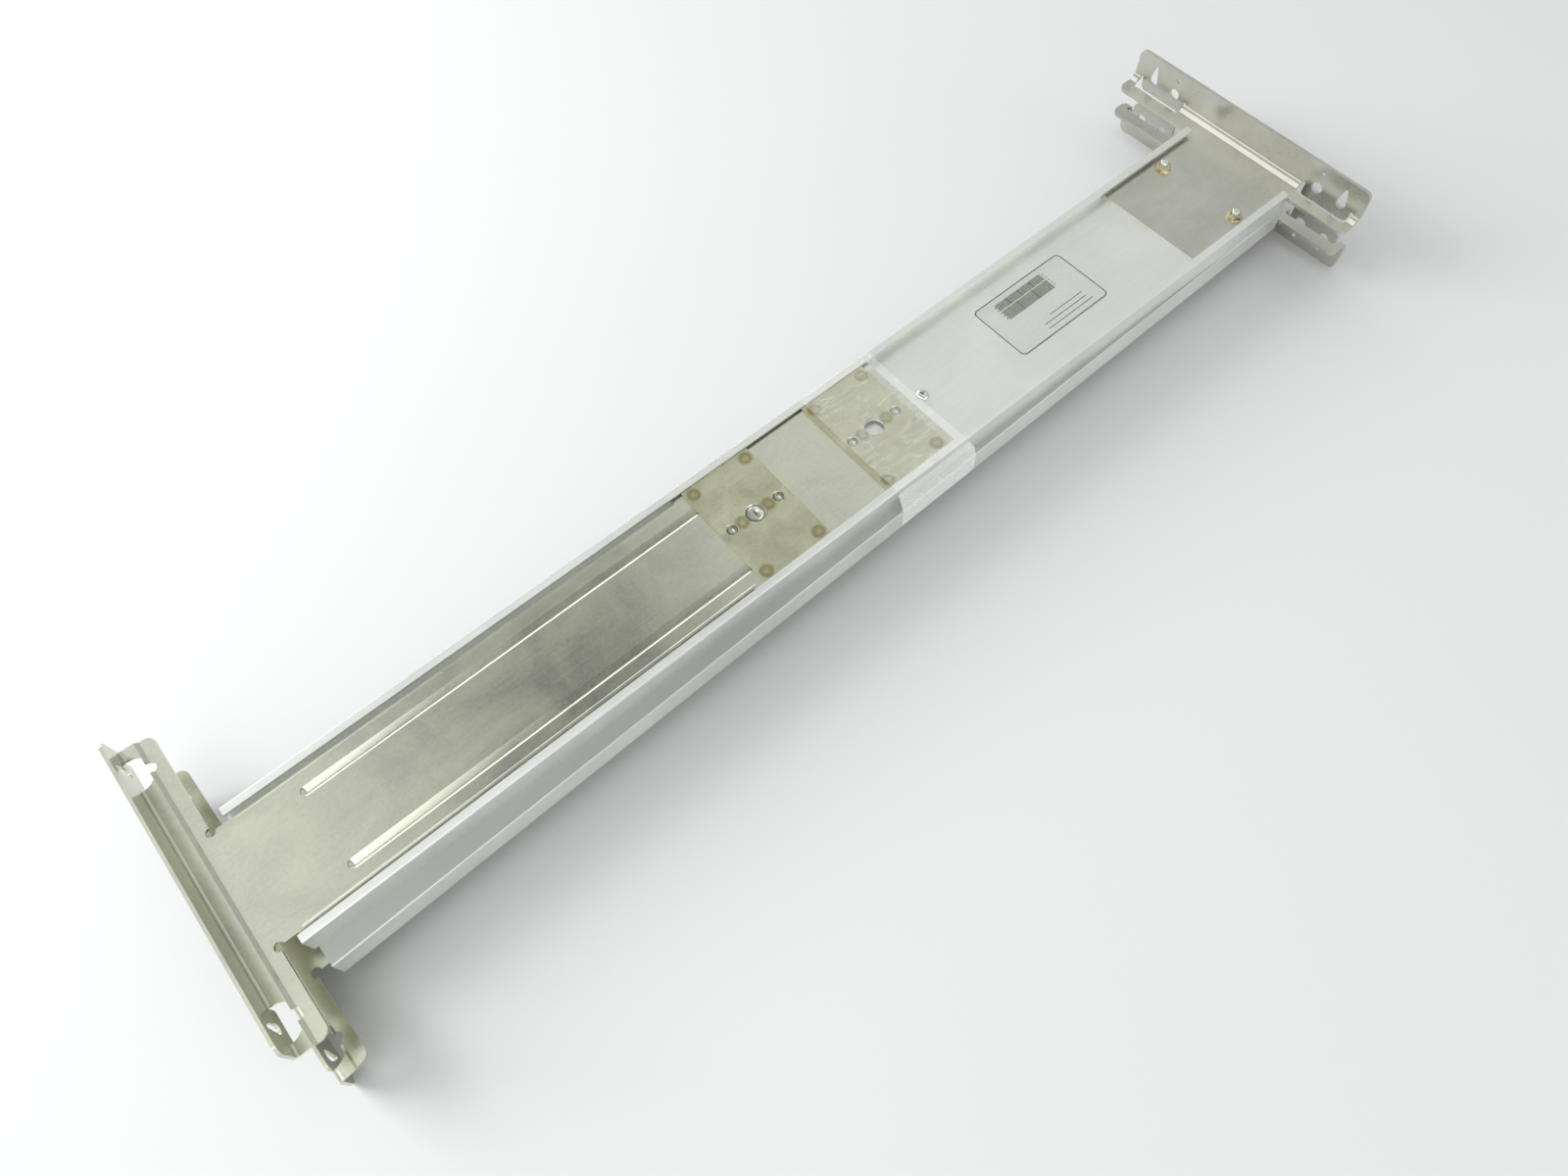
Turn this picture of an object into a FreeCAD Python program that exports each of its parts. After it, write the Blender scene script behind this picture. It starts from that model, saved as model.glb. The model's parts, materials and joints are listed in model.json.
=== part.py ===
"""Pair of sliding server rails, left hand and right hand, packed back to back.

Each rail is a flat aluminium extrusion. A steel slider with a T-shaped front bracket telescopes in
its track, and a fixed T-shaped rear bracket is bolted at the other end. The upper rail lies with its
open side up. The lower one is its mirror image, turned face down, and a band of film ties the two.

Rail frame: X runs from the front end of the extrusion to the rear, Y across, Z up from the back face.
"""
import FreeCAD
import Part
import math
import os
import Sketcher

os.makedirs("parts", exist_ok=True)
doc = FreeCAD.newDocument("serverRails")
sheet = doc.addObject("Spreadsheet::Sheet", "dims")

sizes = {
    # aluminium extrusion
    "railLength": 614, "railWidth": 72, "railHeight": 13, "sideWall": 2.2,
    "lipWidth": 4, "lipThickness": 1, "trackDepth": 5.6, "webThickness": 1.6, "skinThickness": 1.6,
    # running clearances
    "runGap": 0.1, "sideGap": 0.3, "seatGap": 0.05,
    # slider sheet
    "sliderSheet": 1.5, "sliderClearance": 1.8, "wideStart": 240, "shoulderRun": 3, "sliderEnd": 363.6,
    "beadDepth": 1.6, "beadWidth": 5, "beadSlope": 30, "beadOffset": 20.2, "beadStart": 29, "beadEnd": 262,
    "neckNotch": 2.2,
    # doubler plates and their eyelets
    "doublerThickness": 1.2, "doublerLength": 40.5, "frontDoubler": 242.6, "rearDoubler": 318.8,
    "largeEyelet": 5.2, "smallEyelet": 3.1, "eyeletPitch": 14.2, "eyeletWall": 0.4, "eyeletRim": 0.3,
    # T brackets
    "bracketSheet": 2, "headOverhang": 13.075, "headOffset": 7.7, "headDepth": 15.5,
    "frontReach": 8, "rearReach": 1, "flangeProud": 15, "bendRadius": 1.4, "armCorner": 4,
    "joggleRise": 1.8, "joggleRun": 1.6, "frontJoggle": 5.8, "rearJoggle": 9.6,
    "windowStart": 8.8, "windowEnd": 4.25, "windowDepth": 8.3, "windowCorner": 2.2,
    "slotGap": 1.8, "tabDrop": 2.4, "tabCorner": 3.6,
    "hookShift": 1.375, "hookRadius": 8.8, "hookFlat": 2, "hookDepth": 7.9, "hookNotch": 5.5, "hookReach": 11.3,
    "hookGap": 0.4,
    "keyholeSpacing": 133.35, "keyholeRadius": 2.9, "keyholeTip": 1, "keyholeRise": 8.2,
    "rackPitch": 15.875, "roundHole": 3.3, "pilotHole": 1.3, "pilotRise": 9,
    "holeLevel": 6.2,
    # rear bracket plate and its studs
    "rearPlateLength": 72, "studInset": 31.7, "studEdge": 6.7,
    "studRadius": 2, "studHead": 3.6, "studHeadThickness": 1.2, "studProud": 4.6,
    "nutWidth": 7, "nutThickness": 2.5, "nutFlange": 4.6, "nutFlangeThickness": 0.7, "boreGap": 0.05,
    # stop screw
    "stopTravel": 5.1, "screwRadius": 1.5, "screwHead": 3.3, "screwHeadThickness": 2.2, "screwRound": 1.3,
    "screwTail": 2.4,
    # label
    "labelShift": 1.85, "labelLength": 64, "labelWidth": 38, "labelThickness": 0.2, "labelOffset": 2.6,
    "labelCorner": 3,
    # how the pair lies and the film that ties it
    "yawAngle": 1, "upperShiftX": -1.2, "upperShiftY": 5.5,
    "filmStart": 321, "filmWidth": 50, "filmThickness": 0.3,
}
for row, (alias, number) in enumerate(sizes.items(), start=1):
    sheet.set("A%d" % row, alias)
    sheet.set("B%d" % row, str(number))
    sheet.setAlias("B%d" % row, alias)
doc.recompute()

# levels and places that several pieces share, as expressions of the sheet
webTop = "(dims.railHeight - dims.trackDepth)"
sliderBottom = "(%s + dims.runGap + dims.beadDepth)" % webTop
sliderTop = "(%s + dims.sliderSheet)" % sliderBottom
rearTop = "(%s + dims.bracketSheet)" % webTop
flangeTop = "(dims.railHeight + dims.flangeProud)"
trackHalf = "(dims.railWidth / 2 - dims.sideWall)"
wideHalf = "(%s - dims.sideGap)" % trackHalf
lipHalf = "(dims.railWidth / 2 - dims.lipWidth)"
sliderHalf = "(%s - dims.sliderClearance)" % lipHalf
studPlace = "(dims.railLength - dims.studInset)"
studOffset = "(%s - dims.studEdge)" % lipHalf
screwPlace = "(dims.sliderEnd + dims.stopTravel + dims.screwHead)"
headHalf = "(dims.keyholeSpacing / 2 + dims.headOverhang)"
headNear = "(dims.headOffset - %s)" % headHalf
headFar = "(dims.headOffset + %s)" % headHalf
contactPlane = flangeTop
halfWay = "((dims.railLength + dims.rearReach - dims.frontReach) / 2)"
hookMiddle = "(dims.keyholeSpacing / 2 - dims.hookShift)"
roundHoleHalf = "(dims.keyholeSpacing / 2 - dims.rackPitch)"
windowInner = "(%s - dims.windowStart)" % roundHoleHalf
windowOuter = "(%s - dims.windowEnd)" % headHalf
throughAll = "400 mm"
tolerance = 0.02


def number(expression):
    """The present value of an expression of the sheet, in millimetres."""
    value = sheet.evalExpression(expression)
    return float(getattr(value, "Value", value))


def originPlane(body, role):
    for feature in body.Origin.OriginFeatures:
        if feature.Role == role:
            return feature
    raise ValueError(role)


def makeBody(label):
    body = doc.addObject("PartDesign::Body", label)
    body.Label = label
    return body


def makeSketch(body, role, lift=None):
    """A sketch on one of the body's origin planes, moved along its normal by an expression."""
    sketch = body.newObject("Sketcher::SketchObject", body.Name + "Sketch")
    sketch.AttachmentSupport = [(originPlane(body, role), "")]
    sketch.MapMode = "FlatFace"
    if lift:
        sketch.setExpression("AttachmentOffset.Base.z", lift)
    return sketch


def pin(sketch, index, point, across, along):
    """Tie one point of the sketch to the sheet by its two coordinates."""
    for kind, expression in (("DistanceX", across), ("DistanceY", along)):
        value = number(expression)
        order = (-1, 1, index, point)
        place = sketch.addConstraint(Sketcher.Constraint(kind, *order, value))
        sketch.setExpression("Constraints[%d]" % place, expression)


def polygon(sketch, corners):
    """A closed outline whose corners are pairs of expressions."""
    spots = [FreeCAD.Vector(number(across), number(along), 0) for across, along in corners]
    first = sketch.GeometryCount
    count = len(corners)
    for index in range(count):
        sketch.addGeometry(Part.LineSegment(spots[index], spots[(index + 1) % count]), False)
    for index in range(count):
        following = first + (index + 1) % count
        sketch.addConstraint(Sketcher.Constraint("Coincident", first + index, 2, following, 1))
    for index, (across, along) in enumerate(corners):
        pin(sketch, first + index, 1, across, along)


def circle(sketch, across, along, radius):
    centre = FreeCAD.Vector(number(across), number(along), 0)
    index = sketch.addGeometry(Part.Circle(centre, FreeCAD.Vector(0, 0, 1), number(radius)), False)
    pin(sketch, index, 3, across, along)
    place = sketch.addConstraint(Sketcher.Constraint("Radius", index, number(radius)))
    sketch.setExpression("Constraints[%d]" % place, radius)


def rectangle(sketch, x0, x1, y0, y1):
    polygon(sketch, [(x0, y0), (x1, y0), (x1, y1), (x0, y1)])


def pad(body, sketch, length, midplane=False):
    feature = body.newObject("PartDesign::Pad", body.Name + "Pad")
    feature.Profile = sketch
    feature.setExpression("Length", length)
    feature.Midplane = midplane
    doc.recompute()
    return feature


def pocket(body, sketch, midplane=True, length=throughAll):
    """Cut the sketch both ways through the body, and make sure that it took something away."""
    before = body.Shape.Volume
    feature = body.newObject("PartDesign::Pocket", body.Name + "Pocket")
    feature.Profile = sketch
    feature.setExpression("Length", length)
    feature.Midplane = midplane
    doc.recompute()
    if body.Shape.Volume > before - 0.01:
        raise RuntimeError("the pocket of %s cuts nothing" % body.Label)
    return feature


def fillet(body, radius, picks):
    """Round the edges that a test on their middle point and direction picks."""
    base = body.Tip
    names = []
    for index, edge in enumerate(base.Shape.Edges, start=1):
        halfway = (edge.FirstParameter + edge.LastParameter) / 2
        if picks(edge.valueAt(halfway), edge.tangentAt(halfway), edge):
            names.append("Edge%d" % index)
    if not names:
        raise RuntimeError("no edge to round on %s" % body.Label)
    feature = body.newObject("PartDesign::Fillet", body.Name + "Fillet")
    feature.Base = (base, names)
    feature.setExpression("Radius", radius)
    doc.recompute()
    return feature


def isUpright(direction):
    return abs(direction.z) > 0.99


def near(value, target):
    return abs(value - target) < tolerance


def extrusion():
    """Aluminium rail: a lipped track over a flat hollow."""
    body = makeBody("upper_channel")
    sketch = makeSketch(body, "YZ_Plane")
    half = "dims.railWidth / 2"
    lipUnder = "(dims.railHeight - dims.lipThickness)"
    right = [(half, "0"), (half, "dims.railHeight"), (lipHalf, "dims.railHeight"),
             (lipHalf, lipUnder), (trackHalf, lipUnder), (trackHalf, webTop)]
    left = [("-" + across, along) for across, along in reversed(right)]
    polygon(sketch, right + left)
    hollowTop = "(%s - dims.webThickness)" % webTop
    rectangle(sketch, "-" + trackHalf, trackHalf, "dims.skinThickness", hollowTop)
    pad(body, sketch, "dims.railLength")
    holes = makeSketch(body, "XY_Plane", webTop)
    for side in ("", "-"):
        circle(holes, studPlace, side + studOffset, "dims.studRadius + dims.boreGap")
    circle(holes, screwPlace, "0", "dims.screwRadius + dims.boreGap")
    pocket(body, holes, False, "1.2 * dims.webThickness")
    return body


def headProfile(body, outward, start, bottom, thickness, joggle):
    """The T head bent up from its sheet: a strip, a joggle, a ledge and the tall flange."""
    sketch = makeSketch(body, "XZ_Plane", "-dims.headOffset")
    sign = "-" if outward < 0 else ""

    def out(place):
        return "(%s + %s(%s))" % (start, sign, place)

    ledge = "(%s + dims.joggleRise)" % bottom
    rampEnd = joggle + " + dims.joggleRun"
    inner = "dims.headDepth - " + thickness
    polygon(sketch, [
        (out("0"), bottom), (out(joggle), bottom), (out(rampEnd), ledge),
        (out("dims.headDepth"), ledge), (out("dims.headDepth"), flangeTop), (out(inner), flangeTop),
        (out(inner), ledge + " + " + thickness), (out(rampEnd), ledge + " + " + thickness),
        (out(joggle), bottom + " + " + thickness), (out("0"), bottom + " + " + thickness)])
    pad(body, sketch, "2 * " + headHalf, True)


def bends(body, outward, start, bottom, thickness):
    """Round the root of the flange inside and out, the ends of the arms and the flange's corners."""
    flangeOut = number(start) + outward * number("dims.headDepth")
    flangeIn = flangeOut - outward * number(thickness)
    ledge = number(bottom) + number("dims.joggleRise")
    top = number(flangeTop)
    sheetTop = ledge + number(thickness)
    fillet(body, "dims.bendRadius", lambda spot, way, edge: abs(way.y) > 0.99
           and near(spot.x, flangeIn) and near(spot.z, sheetTop))
    fillet(body, "dims.bendRadius + " + thickness, lambda spot, way, edge: abs(way.y) > 0.99
           and near(spot.x, flangeOut) and near(spot.z, ledge))
    ends = number(headNear), number(headFar)

    def atEnd(spot):
        return near(spot.y, ends[0]) or near(spot.y, ends[1])

    fillet(body, "dims.armCorner", lambda spot, way, edge: isUpright(way)
           and near(spot.x, number(start)) and atEnd(spot))
    fillet(body, "dims.armCorner", lambda spot, way, edge: abs(way.x) > 0.99
           and near(spot.z, top) and atEnd(spot))


def acrossHead(side, distance):
    """Where something lies across the rail, so far from the middle of the T head on one side."""
    return "(dims.headOffset %s %s)" % ("+" if side > 0 else "-", distance)


def keyhole(sketch, across, level):
    """A drop-shaped hole: wide and round below, drawn to a narrow tip above."""
    x, z = number(across), number(level)
    wide, tip, rise = number("dims.keyholeRadius"), number("dims.keyholeTip"), number("dims.keyholeRise")
    lean = math.asin((wide - tip) / rise)
    low = FreeCAD.Vector(x, z, 0)
    high = FreeCAD.Vector(x, z + rise, 0)
    normal = FreeCAD.Vector(0, 0, 1)
    bottom = Part.ArcOfCircle(Part.Circle(low, normal, wide), math.pi - lean, 2 * math.pi + lean)
    top = Part.ArcOfCircle(Part.Circle(high, normal, tip), lean, math.pi - lean)
    ends = [bottom.EndPoint, top.StartPoint, top.EndPoint, bottom.StartPoint]
    first = sketch.GeometryCount
    sketch.addGeometry([bottom, Part.LineSegment(ends[0], ends[1]), top,
                        Part.LineSegment(ends[2], ends[3])], False)
    for index in range(4):
        following = first + (index + 1) % 4
        sketch.addConstraint(Sketcher.Constraint("Tangent", first + index, 2, following, 1))
    pin(sketch, first, 3, across, level)
    pin(sketch, first + 2, 3, across, level + " + dims.keyholeRise")
    for index, radius in ((first, "dims.keyholeRadius"), (first + 2, "dims.keyholeTip")):
        place = sketch.addConstraint(Sketcher.Constraint("Radius", index, number(radius)))
        sketch.setExpression("Constraints[%d]" % place, radius)


def outwardFrom(start, outward):
    """Gives a place so far out from the start of a T head, as an expression."""
    return lambda place: "(%s %s (%s))" % (start, "+" if outward > 0 else "-", place)


def squareWindows(body, out, bottom, thickness):
    """A long window across the joggle of each arm, with rounded inner corners."""
    windows = makeSketch(body, "XY_Plane", bottom)
    for side in (1, -1):
        rectangle(windows, out("dims.headDepth - dims.windowDepth"), out("dims.headDepth + 1"),
                  acrossHead(side, windowInner), acrossHead(side, windowOuter))
    pocket(body, windows, True, "2 * (dims.joggleRise + %s + dims.bendRadius)" % thickness)
    corners = number(out("dims.headDepth - dims.windowDepth"))
    fillet(body, "dims.windowCorner", lambda spot, way, edge: isUpright(way) and near(spot.x, corners))


def hookedWindows(body, out, bottom, thickness):
    """A half-round window behind each keyhole, with a notch that leaves a hook on either side of it."""
    height = "2 * (dims.joggleRise + %s + dims.bendRadius)" % thickness
    for side in (1, -1):
        across = acrossHead(side, hookMiddle)
        window = makeSketch(body, "XY_Plane", bottom)
        halfRound(window, out, across)
        pocket(body, window, True, height)
        notch = makeSketch(body, "XY_Plane", bottom)
        slot(notch, out("dims.headDepth - dims.hookDepth + dims.hookNotch / 2"),
             out("dims.headDepth - dims.hookReach + dims.hookNotch / 2"), across, "dims.hookNotch")
        pocket(body, notch, True, height)


def halfRound(sketch, out, across):
    """A D-shaped outline: round towards the rail, cut off in line with the joggle, and open outwards."""
    x, y, radius = number(out("dims.headDepth - dims.hookFlat")), number(across), number("dims.hookRadius")
    cut, edge = number(out("dims.headDepth - dims.hookDepth")), number(out("dims.headDepth + 1"))
    centre, normal = FreeCAD.Vector(x, y, 0), FreeCAD.Vector(0, 0, 1)
    lean = math.acos((cut - x) / radius)
    upper = Part.ArcOfCircle(Part.Circle(centre, normal, radius), lean, math.pi / 2)
    lower = Part.ArcOfCircle(Part.Circle(centre, normal, radius), -math.pi / 2, -lean)
    far = [FreeCAD.Vector(edge, y + radius, 0), FreeCAD.Vector(edge, y - radius, 0)]
    sketch.addGeometry([upper, Part.LineSegment(upper.EndPoint, far[0]), Part.LineSegment(*far),
                        Part.LineSegment(far[1], lower.StartPoint), lower,
                        Part.LineSegment(lower.EndPoint, upper.StartPoint)], False)
    for first, second, kind in ((0, 1, "Tangent"), (1, 2, "Coincident"), (2, 3, "Coincident"),
                                (3, 4, "Tangent"), (4, 5, "Coincident"), (5, 0, "Coincident")):
        sketch.addConstraint(Sketcher.Constraint(kind, first, 2, second, 1))
    for index in (1, 3):
        sketch.addConstraint(Sketcher.Constraint("Horizontal", index))
    for index in (2, 5):
        sketch.addConstraint(Sketcher.Constraint("Vertical", index))
    sketch.addConstraint(Sketcher.Constraint("Coincident", 0, 3, 4, 3))
    pin(sketch, 0, 3, out("dims.headDepth - dims.hookFlat"), across)
    for index, place in ((2, "dims.headDepth + 1"), (5, "dims.headDepth - dims.hookDepth")):
        value = number(out(place))
        line = sketch.addConstraint(Sketcher.Constraint("DistanceX", -1, 1, index, 1, value))
        sketch.setExpression("Constraints[%d]" % line, out(place))
    size = sketch.addConstraint(Sketcher.Constraint("Radius", 0, radius))
    sketch.setExpression("Constraints[%d]" % size, "dims.hookRadius")


def tabs(body, outward, out, bottom, thickness, inner, outer):
    """Hang a tab of the flange in each window."""
    sketch = makeSketch(body, "YZ_Plane", out("dims.headDepth"))
    low = "(%s - dims.tabDrop)" % bottom
    high = "(%s + dims.joggleRise + 2 * %s + dims.bendRadius)" % (bottom, thickness)
    for side in (1, -1):
        rectangle(sketch, acrossHead(side, inner), acrossHead(side, outer), low, high)
    feature = pad(body, sketch, thickness)
    feature.Reversed = outward > 0
    doc.recompute()
    return number(low)


def flangeHoles(body, out, bottom, thickness, withRound):
    """Punch the keyholes of the flange, and the round and pilot holes where it has them."""
    holes = makeSketch(body, "YZ_Plane", out("dims.headDepth"))
    level = "(%s + dims.holeLevel)" % bottom
    for side in (1, -1):
        keyhole(holes, acrossHead(side, "dims.keyholeSpacing / 2"), level)
        if withRound:
            across = acrossHead(side, roundHoleHalf)
            circle(holes, across, level, "dims.roundHole")
            circle(holes, across, level + " + dims.pilotRise", "dims.pilotHole")
    pocket(body, holes, True, "4 * " + thickness)


def slider():
    """Steel slider: a long sheet with two pressed beads and the front T bracket bent from its end."""
    body = makeBody("upper_slider_plate")
    start = "(-dims.frontReach)"
    headProfile(body, -1, start, sliderBottom, "dims.sliderSheet", "dims.frontJoggle")
    bends(body, -1, start, sliderBottom, "dims.sliderSheet")
    sketch = makeSketch(body, "XY_Plane", sliderBottom)
    shoulder = "(dims.wideStart - dims.shoulderRun)"
    side = [("(-dims.frontReach - 1)", sliderHalf), (shoulder, sliderHalf), ("dims.wideStart", wideHalf),
            ("dims.sliderEnd", wideHalf)]
    polygon(sketch, side + [(along, "-(%s)" % across) for along, across in reversed(side)])
    pad(body, sketch, "dims.sliderSheet")
    notches = makeSketch(body, "XY_Plane", sliderBottom)
    for sign in ("", "-"):
        circle(notches, start, sign + sliderHalf, "dims.neckNotch")
    pocket(body, notches, True, "4 * dims.sliderSheet")
    out = outwardFrom(start, -1)
    hookedWindows(body, out, sliderBottom, "dims.sliderSheet")
    hookHalf = "(dims.hookRadius - dims.hookGap)"
    low = tabs(body, -1, out, sliderBottom, "dims.sliderSheet", "(%s - %s)" % (hookMiddle, hookHalf),
               "(%s + %s)" % (hookMiddle, hookHalf))
    fillet(body, "dims.bendRadius", lambda spot, way, edge: abs(way.x) > 0.99 and near(spot.z, low))
    flangeHoles(body, out, sliderBottom, "dims.sliderSheet", False)
    for sign in ("", "-"):
        bead(body, sign)
    holes = makeSketch(body, "XY_Plane", sliderBottom)
    for place in ("dims.frontDoubler", "dims.rearDoubler"):
        eyeletHoles(holes, place)
    pocket(body, holes, True, "4 * dims.sliderSheet")
    return body


def slot(sketch, x0, x1, across, width):
    """An outline along X with round ends."""
    radius = number(width) / 2
    y = number(across)
    low = FreeCAD.Vector(number(x0), y, 0)
    high = FreeCAD.Vector(number(x1), y, 0)
    normal = FreeCAD.Vector(0, 0, 1)
    start = Part.ArcOfCircle(Part.Circle(low, normal, radius), math.pi / 2, 3 * math.pi / 2)
    end = Part.ArcOfCircle(Part.Circle(high, normal, radius), -math.pi / 2, math.pi / 2)
    sketch.addGeometry([start, Part.LineSegment(start.EndPoint, end.StartPoint), end,
                        Part.LineSegment(end.EndPoint, start.StartPoint)], False)
    for index in range(4):
        sketch.addConstraint(Sketcher.Constraint("Tangent", index, 2, (index + 1) % 4, 1))
    pin(sketch, 0, 3, x0, across)
    pin(sketch, 2, 3, x1, across)
    place = sketch.addConstraint(Sketcher.Constraint("Radius", 0, radius))
    sketch.setExpression("Constraints[%d]" % place, width + " / 2")


def bead(body, side):
    """One long bead: a trough pressed down into the sheet, with sloping walls and round ends."""
    across = side + "dims.beadOffset"
    ends = ("dims.beadStart + dims.beadWidth / 2", "dims.beadEnd - dims.beadWidth / 2")
    before = body.Shape.Volume
    below = makeSketch(body, "XY_Plane", sliderBottom)
    slot(below, *ends, across, "dims.beadWidth")
    ridge = pad(body, below, "dims.beadDepth")
    ridge.Reversed = True
    doc.recompute()
    ridge.setExpression("TaperAngle", "-dims.beadSlope")
    doc.recompute()
    if body.Shape.Volume < before + 1:
        raise RuntimeError("a bead adds nothing")
    above = makeSketch(body, "XY_Plane", sliderTop)
    slot(above, *ends, across, "dims.beadWidth")
    trough = pocket(body, above, False, "dims.beadDepth")
    trough.setExpression("TaperAngle", "-dims.beadSlope")
    doc.recompute()


def eyeletHoles(sketch, start):
    """The three holes in line along the middle of a doubler."""
    centre = "(%s + dims.doublerLength / 2)" % start
    circle(sketch, centre, "0", "dims.largeEyelet")
    for sign in ("+", "-"):
        circle(sketch, "(%s %s dims.eyeletPitch)" % (centre, sign), "0", "dims.smallEyelet")


def place(item, x="0", y="0", z="0"):
    """Put a primitive somewhere in the rail's frame."""
    for axis, expression in zip("xyz", (x, y, z)):
        item.setExpression("Placement.Base." + axis, expression)


def cylinder(name, radius, height, x, y, z):
    item = doc.addObject("Part::Cylinder", name)
    item.setExpression("Radius", radius)
    item.setExpression("Height", height)
    place(item, x, y, z)
    return item


def join(kind, name, first, second):
    item = doc.addObject(kind, name)
    item.Base = first
    item.Tool = second
    return item


def group(name, members):
    item = doc.addObject("Part::Compound", name)
    item.Label = name
    item.Links = members
    return item


def doubler(name, start):
    """A plate welded flat on the slider, wide enough to run under the lips of the track."""
    body = makeBody(name)
    sketch = makeSketch(body, "XY_Plane", sliderTop)
    rectangle(sketch, start, start + " + dims.doublerLength", "-" + wideHalf, wideHalf)
    eyeletHoles(sketch, start)
    pad(body, sketch, "dims.doublerThickness")
    return body


def eyelet(name, x, radius):
    """A pressed steel cup with a rolled rim, seated in the doubler and the sheet below it."""
    floor = "(%s - dims.eyeletWall)" % sliderBottom
    rim = "(%s + dims.doublerThickness)" % sliderTop
    top = "(%s + dims.eyeletWall / 2)" % rim
    fit = "(%s - dims.seatGap)" % radius
    shell = cylinder(name + "Shell", fit, "%s - %s" % (top, floor), x, "0", floor)
    collar = cylinder(name + "Collar", "%s + dims.eyeletRim" % radius, "dims.eyeletWall / 2", x, "0", rim)
    mouth, depth = "(%s - dims.eyeletWall)" % fit, "(%s - %s)" % (top, sliderBottom)
    bowlRadius = "((%s * %s / %s + %s) / 2)" % (mouth, mouth, depth, depth)
    bowl = doc.addObject("Part::Sphere", name + "Bowl")
    bowl.setExpression("Radius", bowlRadius)
    place(bowl, x, "0", "%s + %s" % (sliderBottom, bowlRadius))
    return join("Part::Cut", name, join("Part::Fuse", name + "Body", shell, collar), bowl)


def eyelets(name, start, withLarge):
    centre = "(%s + dims.doublerLength / 2)" % start
    members = [eyelet(name + tag, "%s %s dims.eyeletPitch" % (centre, sign), "dims.smallEyelet")
               for tag, sign in (("Rear", "+"), ("Front", "-"))]
    if withLarge:
        members.append(eyelet(name + "Large", centre, "dims.largeEyelet"))
    return group(name, members)


def rearBracket():
    """Fixed T bracket: a plate bolted on the web, with the same bent head as the slider's."""
    body = makeBody("upper_rear_bracket")
    start = "(dims.railLength + dims.rearReach)"
    headProfile(body, 1, start, webTop, "dims.bracketSheet", "dims.rearJoggle")
    bends(body, 1, start, webTop, "dims.bracketSheet")
    plate = makeSketch(body, "XY_Plane", webTop)
    rectangle(plate, "(dims.railLength - dims.rearPlateLength)", start + " + 1", "-" + wideHalf, wideHalf)
    for side in ("", "-"):
        circle(plate, studPlace, side + studOffset, "dims.studRadius + dims.boreGap")
    pad(body, plate, "dims.bracketSheet")
    out = outwardFrom(start, 1)
    squareWindows(body, out, webTop, "dims.bracketSheet")
    low = tabs(body, 1, out, webTop, "dims.bracketSheet", "(%s + dims.slotGap)" % windowInner,
               "(%s - dims.slotGap)" % windowOuter)
    half = number("(%s + %s) / 2" % (windowInner, windowOuter))
    offset = number("dims.headOffset")
    for radius, outside in (("dims.tabCorner", True), ("dims.bendRadius", False)):
        fillet(body, radius, lambda spot, way, edge: abs(way.x) > 0.99 and near(spot.z, low)
               and (abs(spot.y - offset) > half) == outside)
    flangeHoles(body, out, webTop, "dims.bracketSheet", True)
    return body


def studsAndNuts():
    """Pressed studs that rise through the web, and the flanged nuts that hold the rear bracket."""
    studs, nuts = [], []
    under = "(%s - dims.webThickness)" % webTop
    for tag, side in (("Left", ""), ("Right", "-")):
        y = side + studOffset
        shank = cylinder("shank" + tag, "dims.studRadius",
                         "dims.webThickness + dims.bracketSheet + dims.studProud", studPlace, y, under)
        head = cylinder("studHead" + tag, "dims.studHead", "dims.studHeadThickness",
                        studPlace, y, under + " - dims.studHeadThickness")
        studs.append(join("Part::Fuse", "stud" + tag, shank, head))
        hexagon = doc.addObject("Part::Prism", "hexagon" + tag)
        hexagon.Polygon = 6
        hexagon.setExpression("Circumradius", "dims.nutWidth / sqrt(3)")
        hexagon.setExpression("Height", "dims.nutThickness")
        place(hexagon, studPlace, y, rearTop)
        flange = cylinder("nutFlange" + tag, "dims.nutFlange", "dims.nutFlangeThickness",
                          studPlace, y, rearTop)
        bore = cylinder("nutBore" + tag, "dims.studRadius + dims.boreGap", "3 * dims.nutThickness",
                        studPlace, y, webTop)
        solid = join("Part::Fuse", "nutBody" + tag, hexagon, flange)
        nuts.append(join("Part::Cut", "nut" + tag, solid, bore))
    return [group("upper_rear_studs", studs), group("upper_rear_nuts", nuts)]


def stopScrew():
    """Pan-head screw in the web that stops the slider when it is pushed right in."""
    head = cylinder("panHead", "dims.screwHead", "dims.screwHeadThickness", screwPlace, "0", webTop)
    shank = cylinder("screwShank", "dims.screwRadius", "dims.webThickness + dims.screwTail + dims.runGap",
                     screwPlace, "0", "%s - dims.webThickness - dims.screwTail" % webTop)
    joined = join("Part::Fuse", "screwBody", head, shank)
    doc.recompute()
    rounded = doc.addObject("Part::Fillet", "upper_stop_screw")
    rounded.Label = "upper_stop_screw"
    rounded.Base = joined
    top = number("%s + dims.screwHeadThickness" % webTop)
    radius = number("dims.screwRound")
    rounded.Edges = [(index, radius, radius) for index, edge in enumerate(joined.Shape.Edges, start=1)
                     if near(edge.BoundBox.ZMin, top) and near(edge.BoundBox.ZMax, top)]
    return rounded


def sticker():
    """The plain sticker on the web."""
    body = makeBody("upper_label")
    sketch = makeSketch(body, "XY_Plane", webTop)
    half = "dims.labelWidth / 2"
    free = "(%s + dims.screwHead + dims.railLength - dims.rearPlateLength)" % screwPlace
    start = "(%s / 2 + dims.labelShift - dims.labelLength / 2)" % free
    rectangle(sketch, start, start + " + dims.labelLength",
              "dims.labelOffset - " + half, "dims.labelOffset + " + half)
    pad(body, sketch, "dims.labelThickness")
    fillet(body, "dims.labelCorner", lambda spot, way, edge: isUpright(way))
    return body


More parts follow.
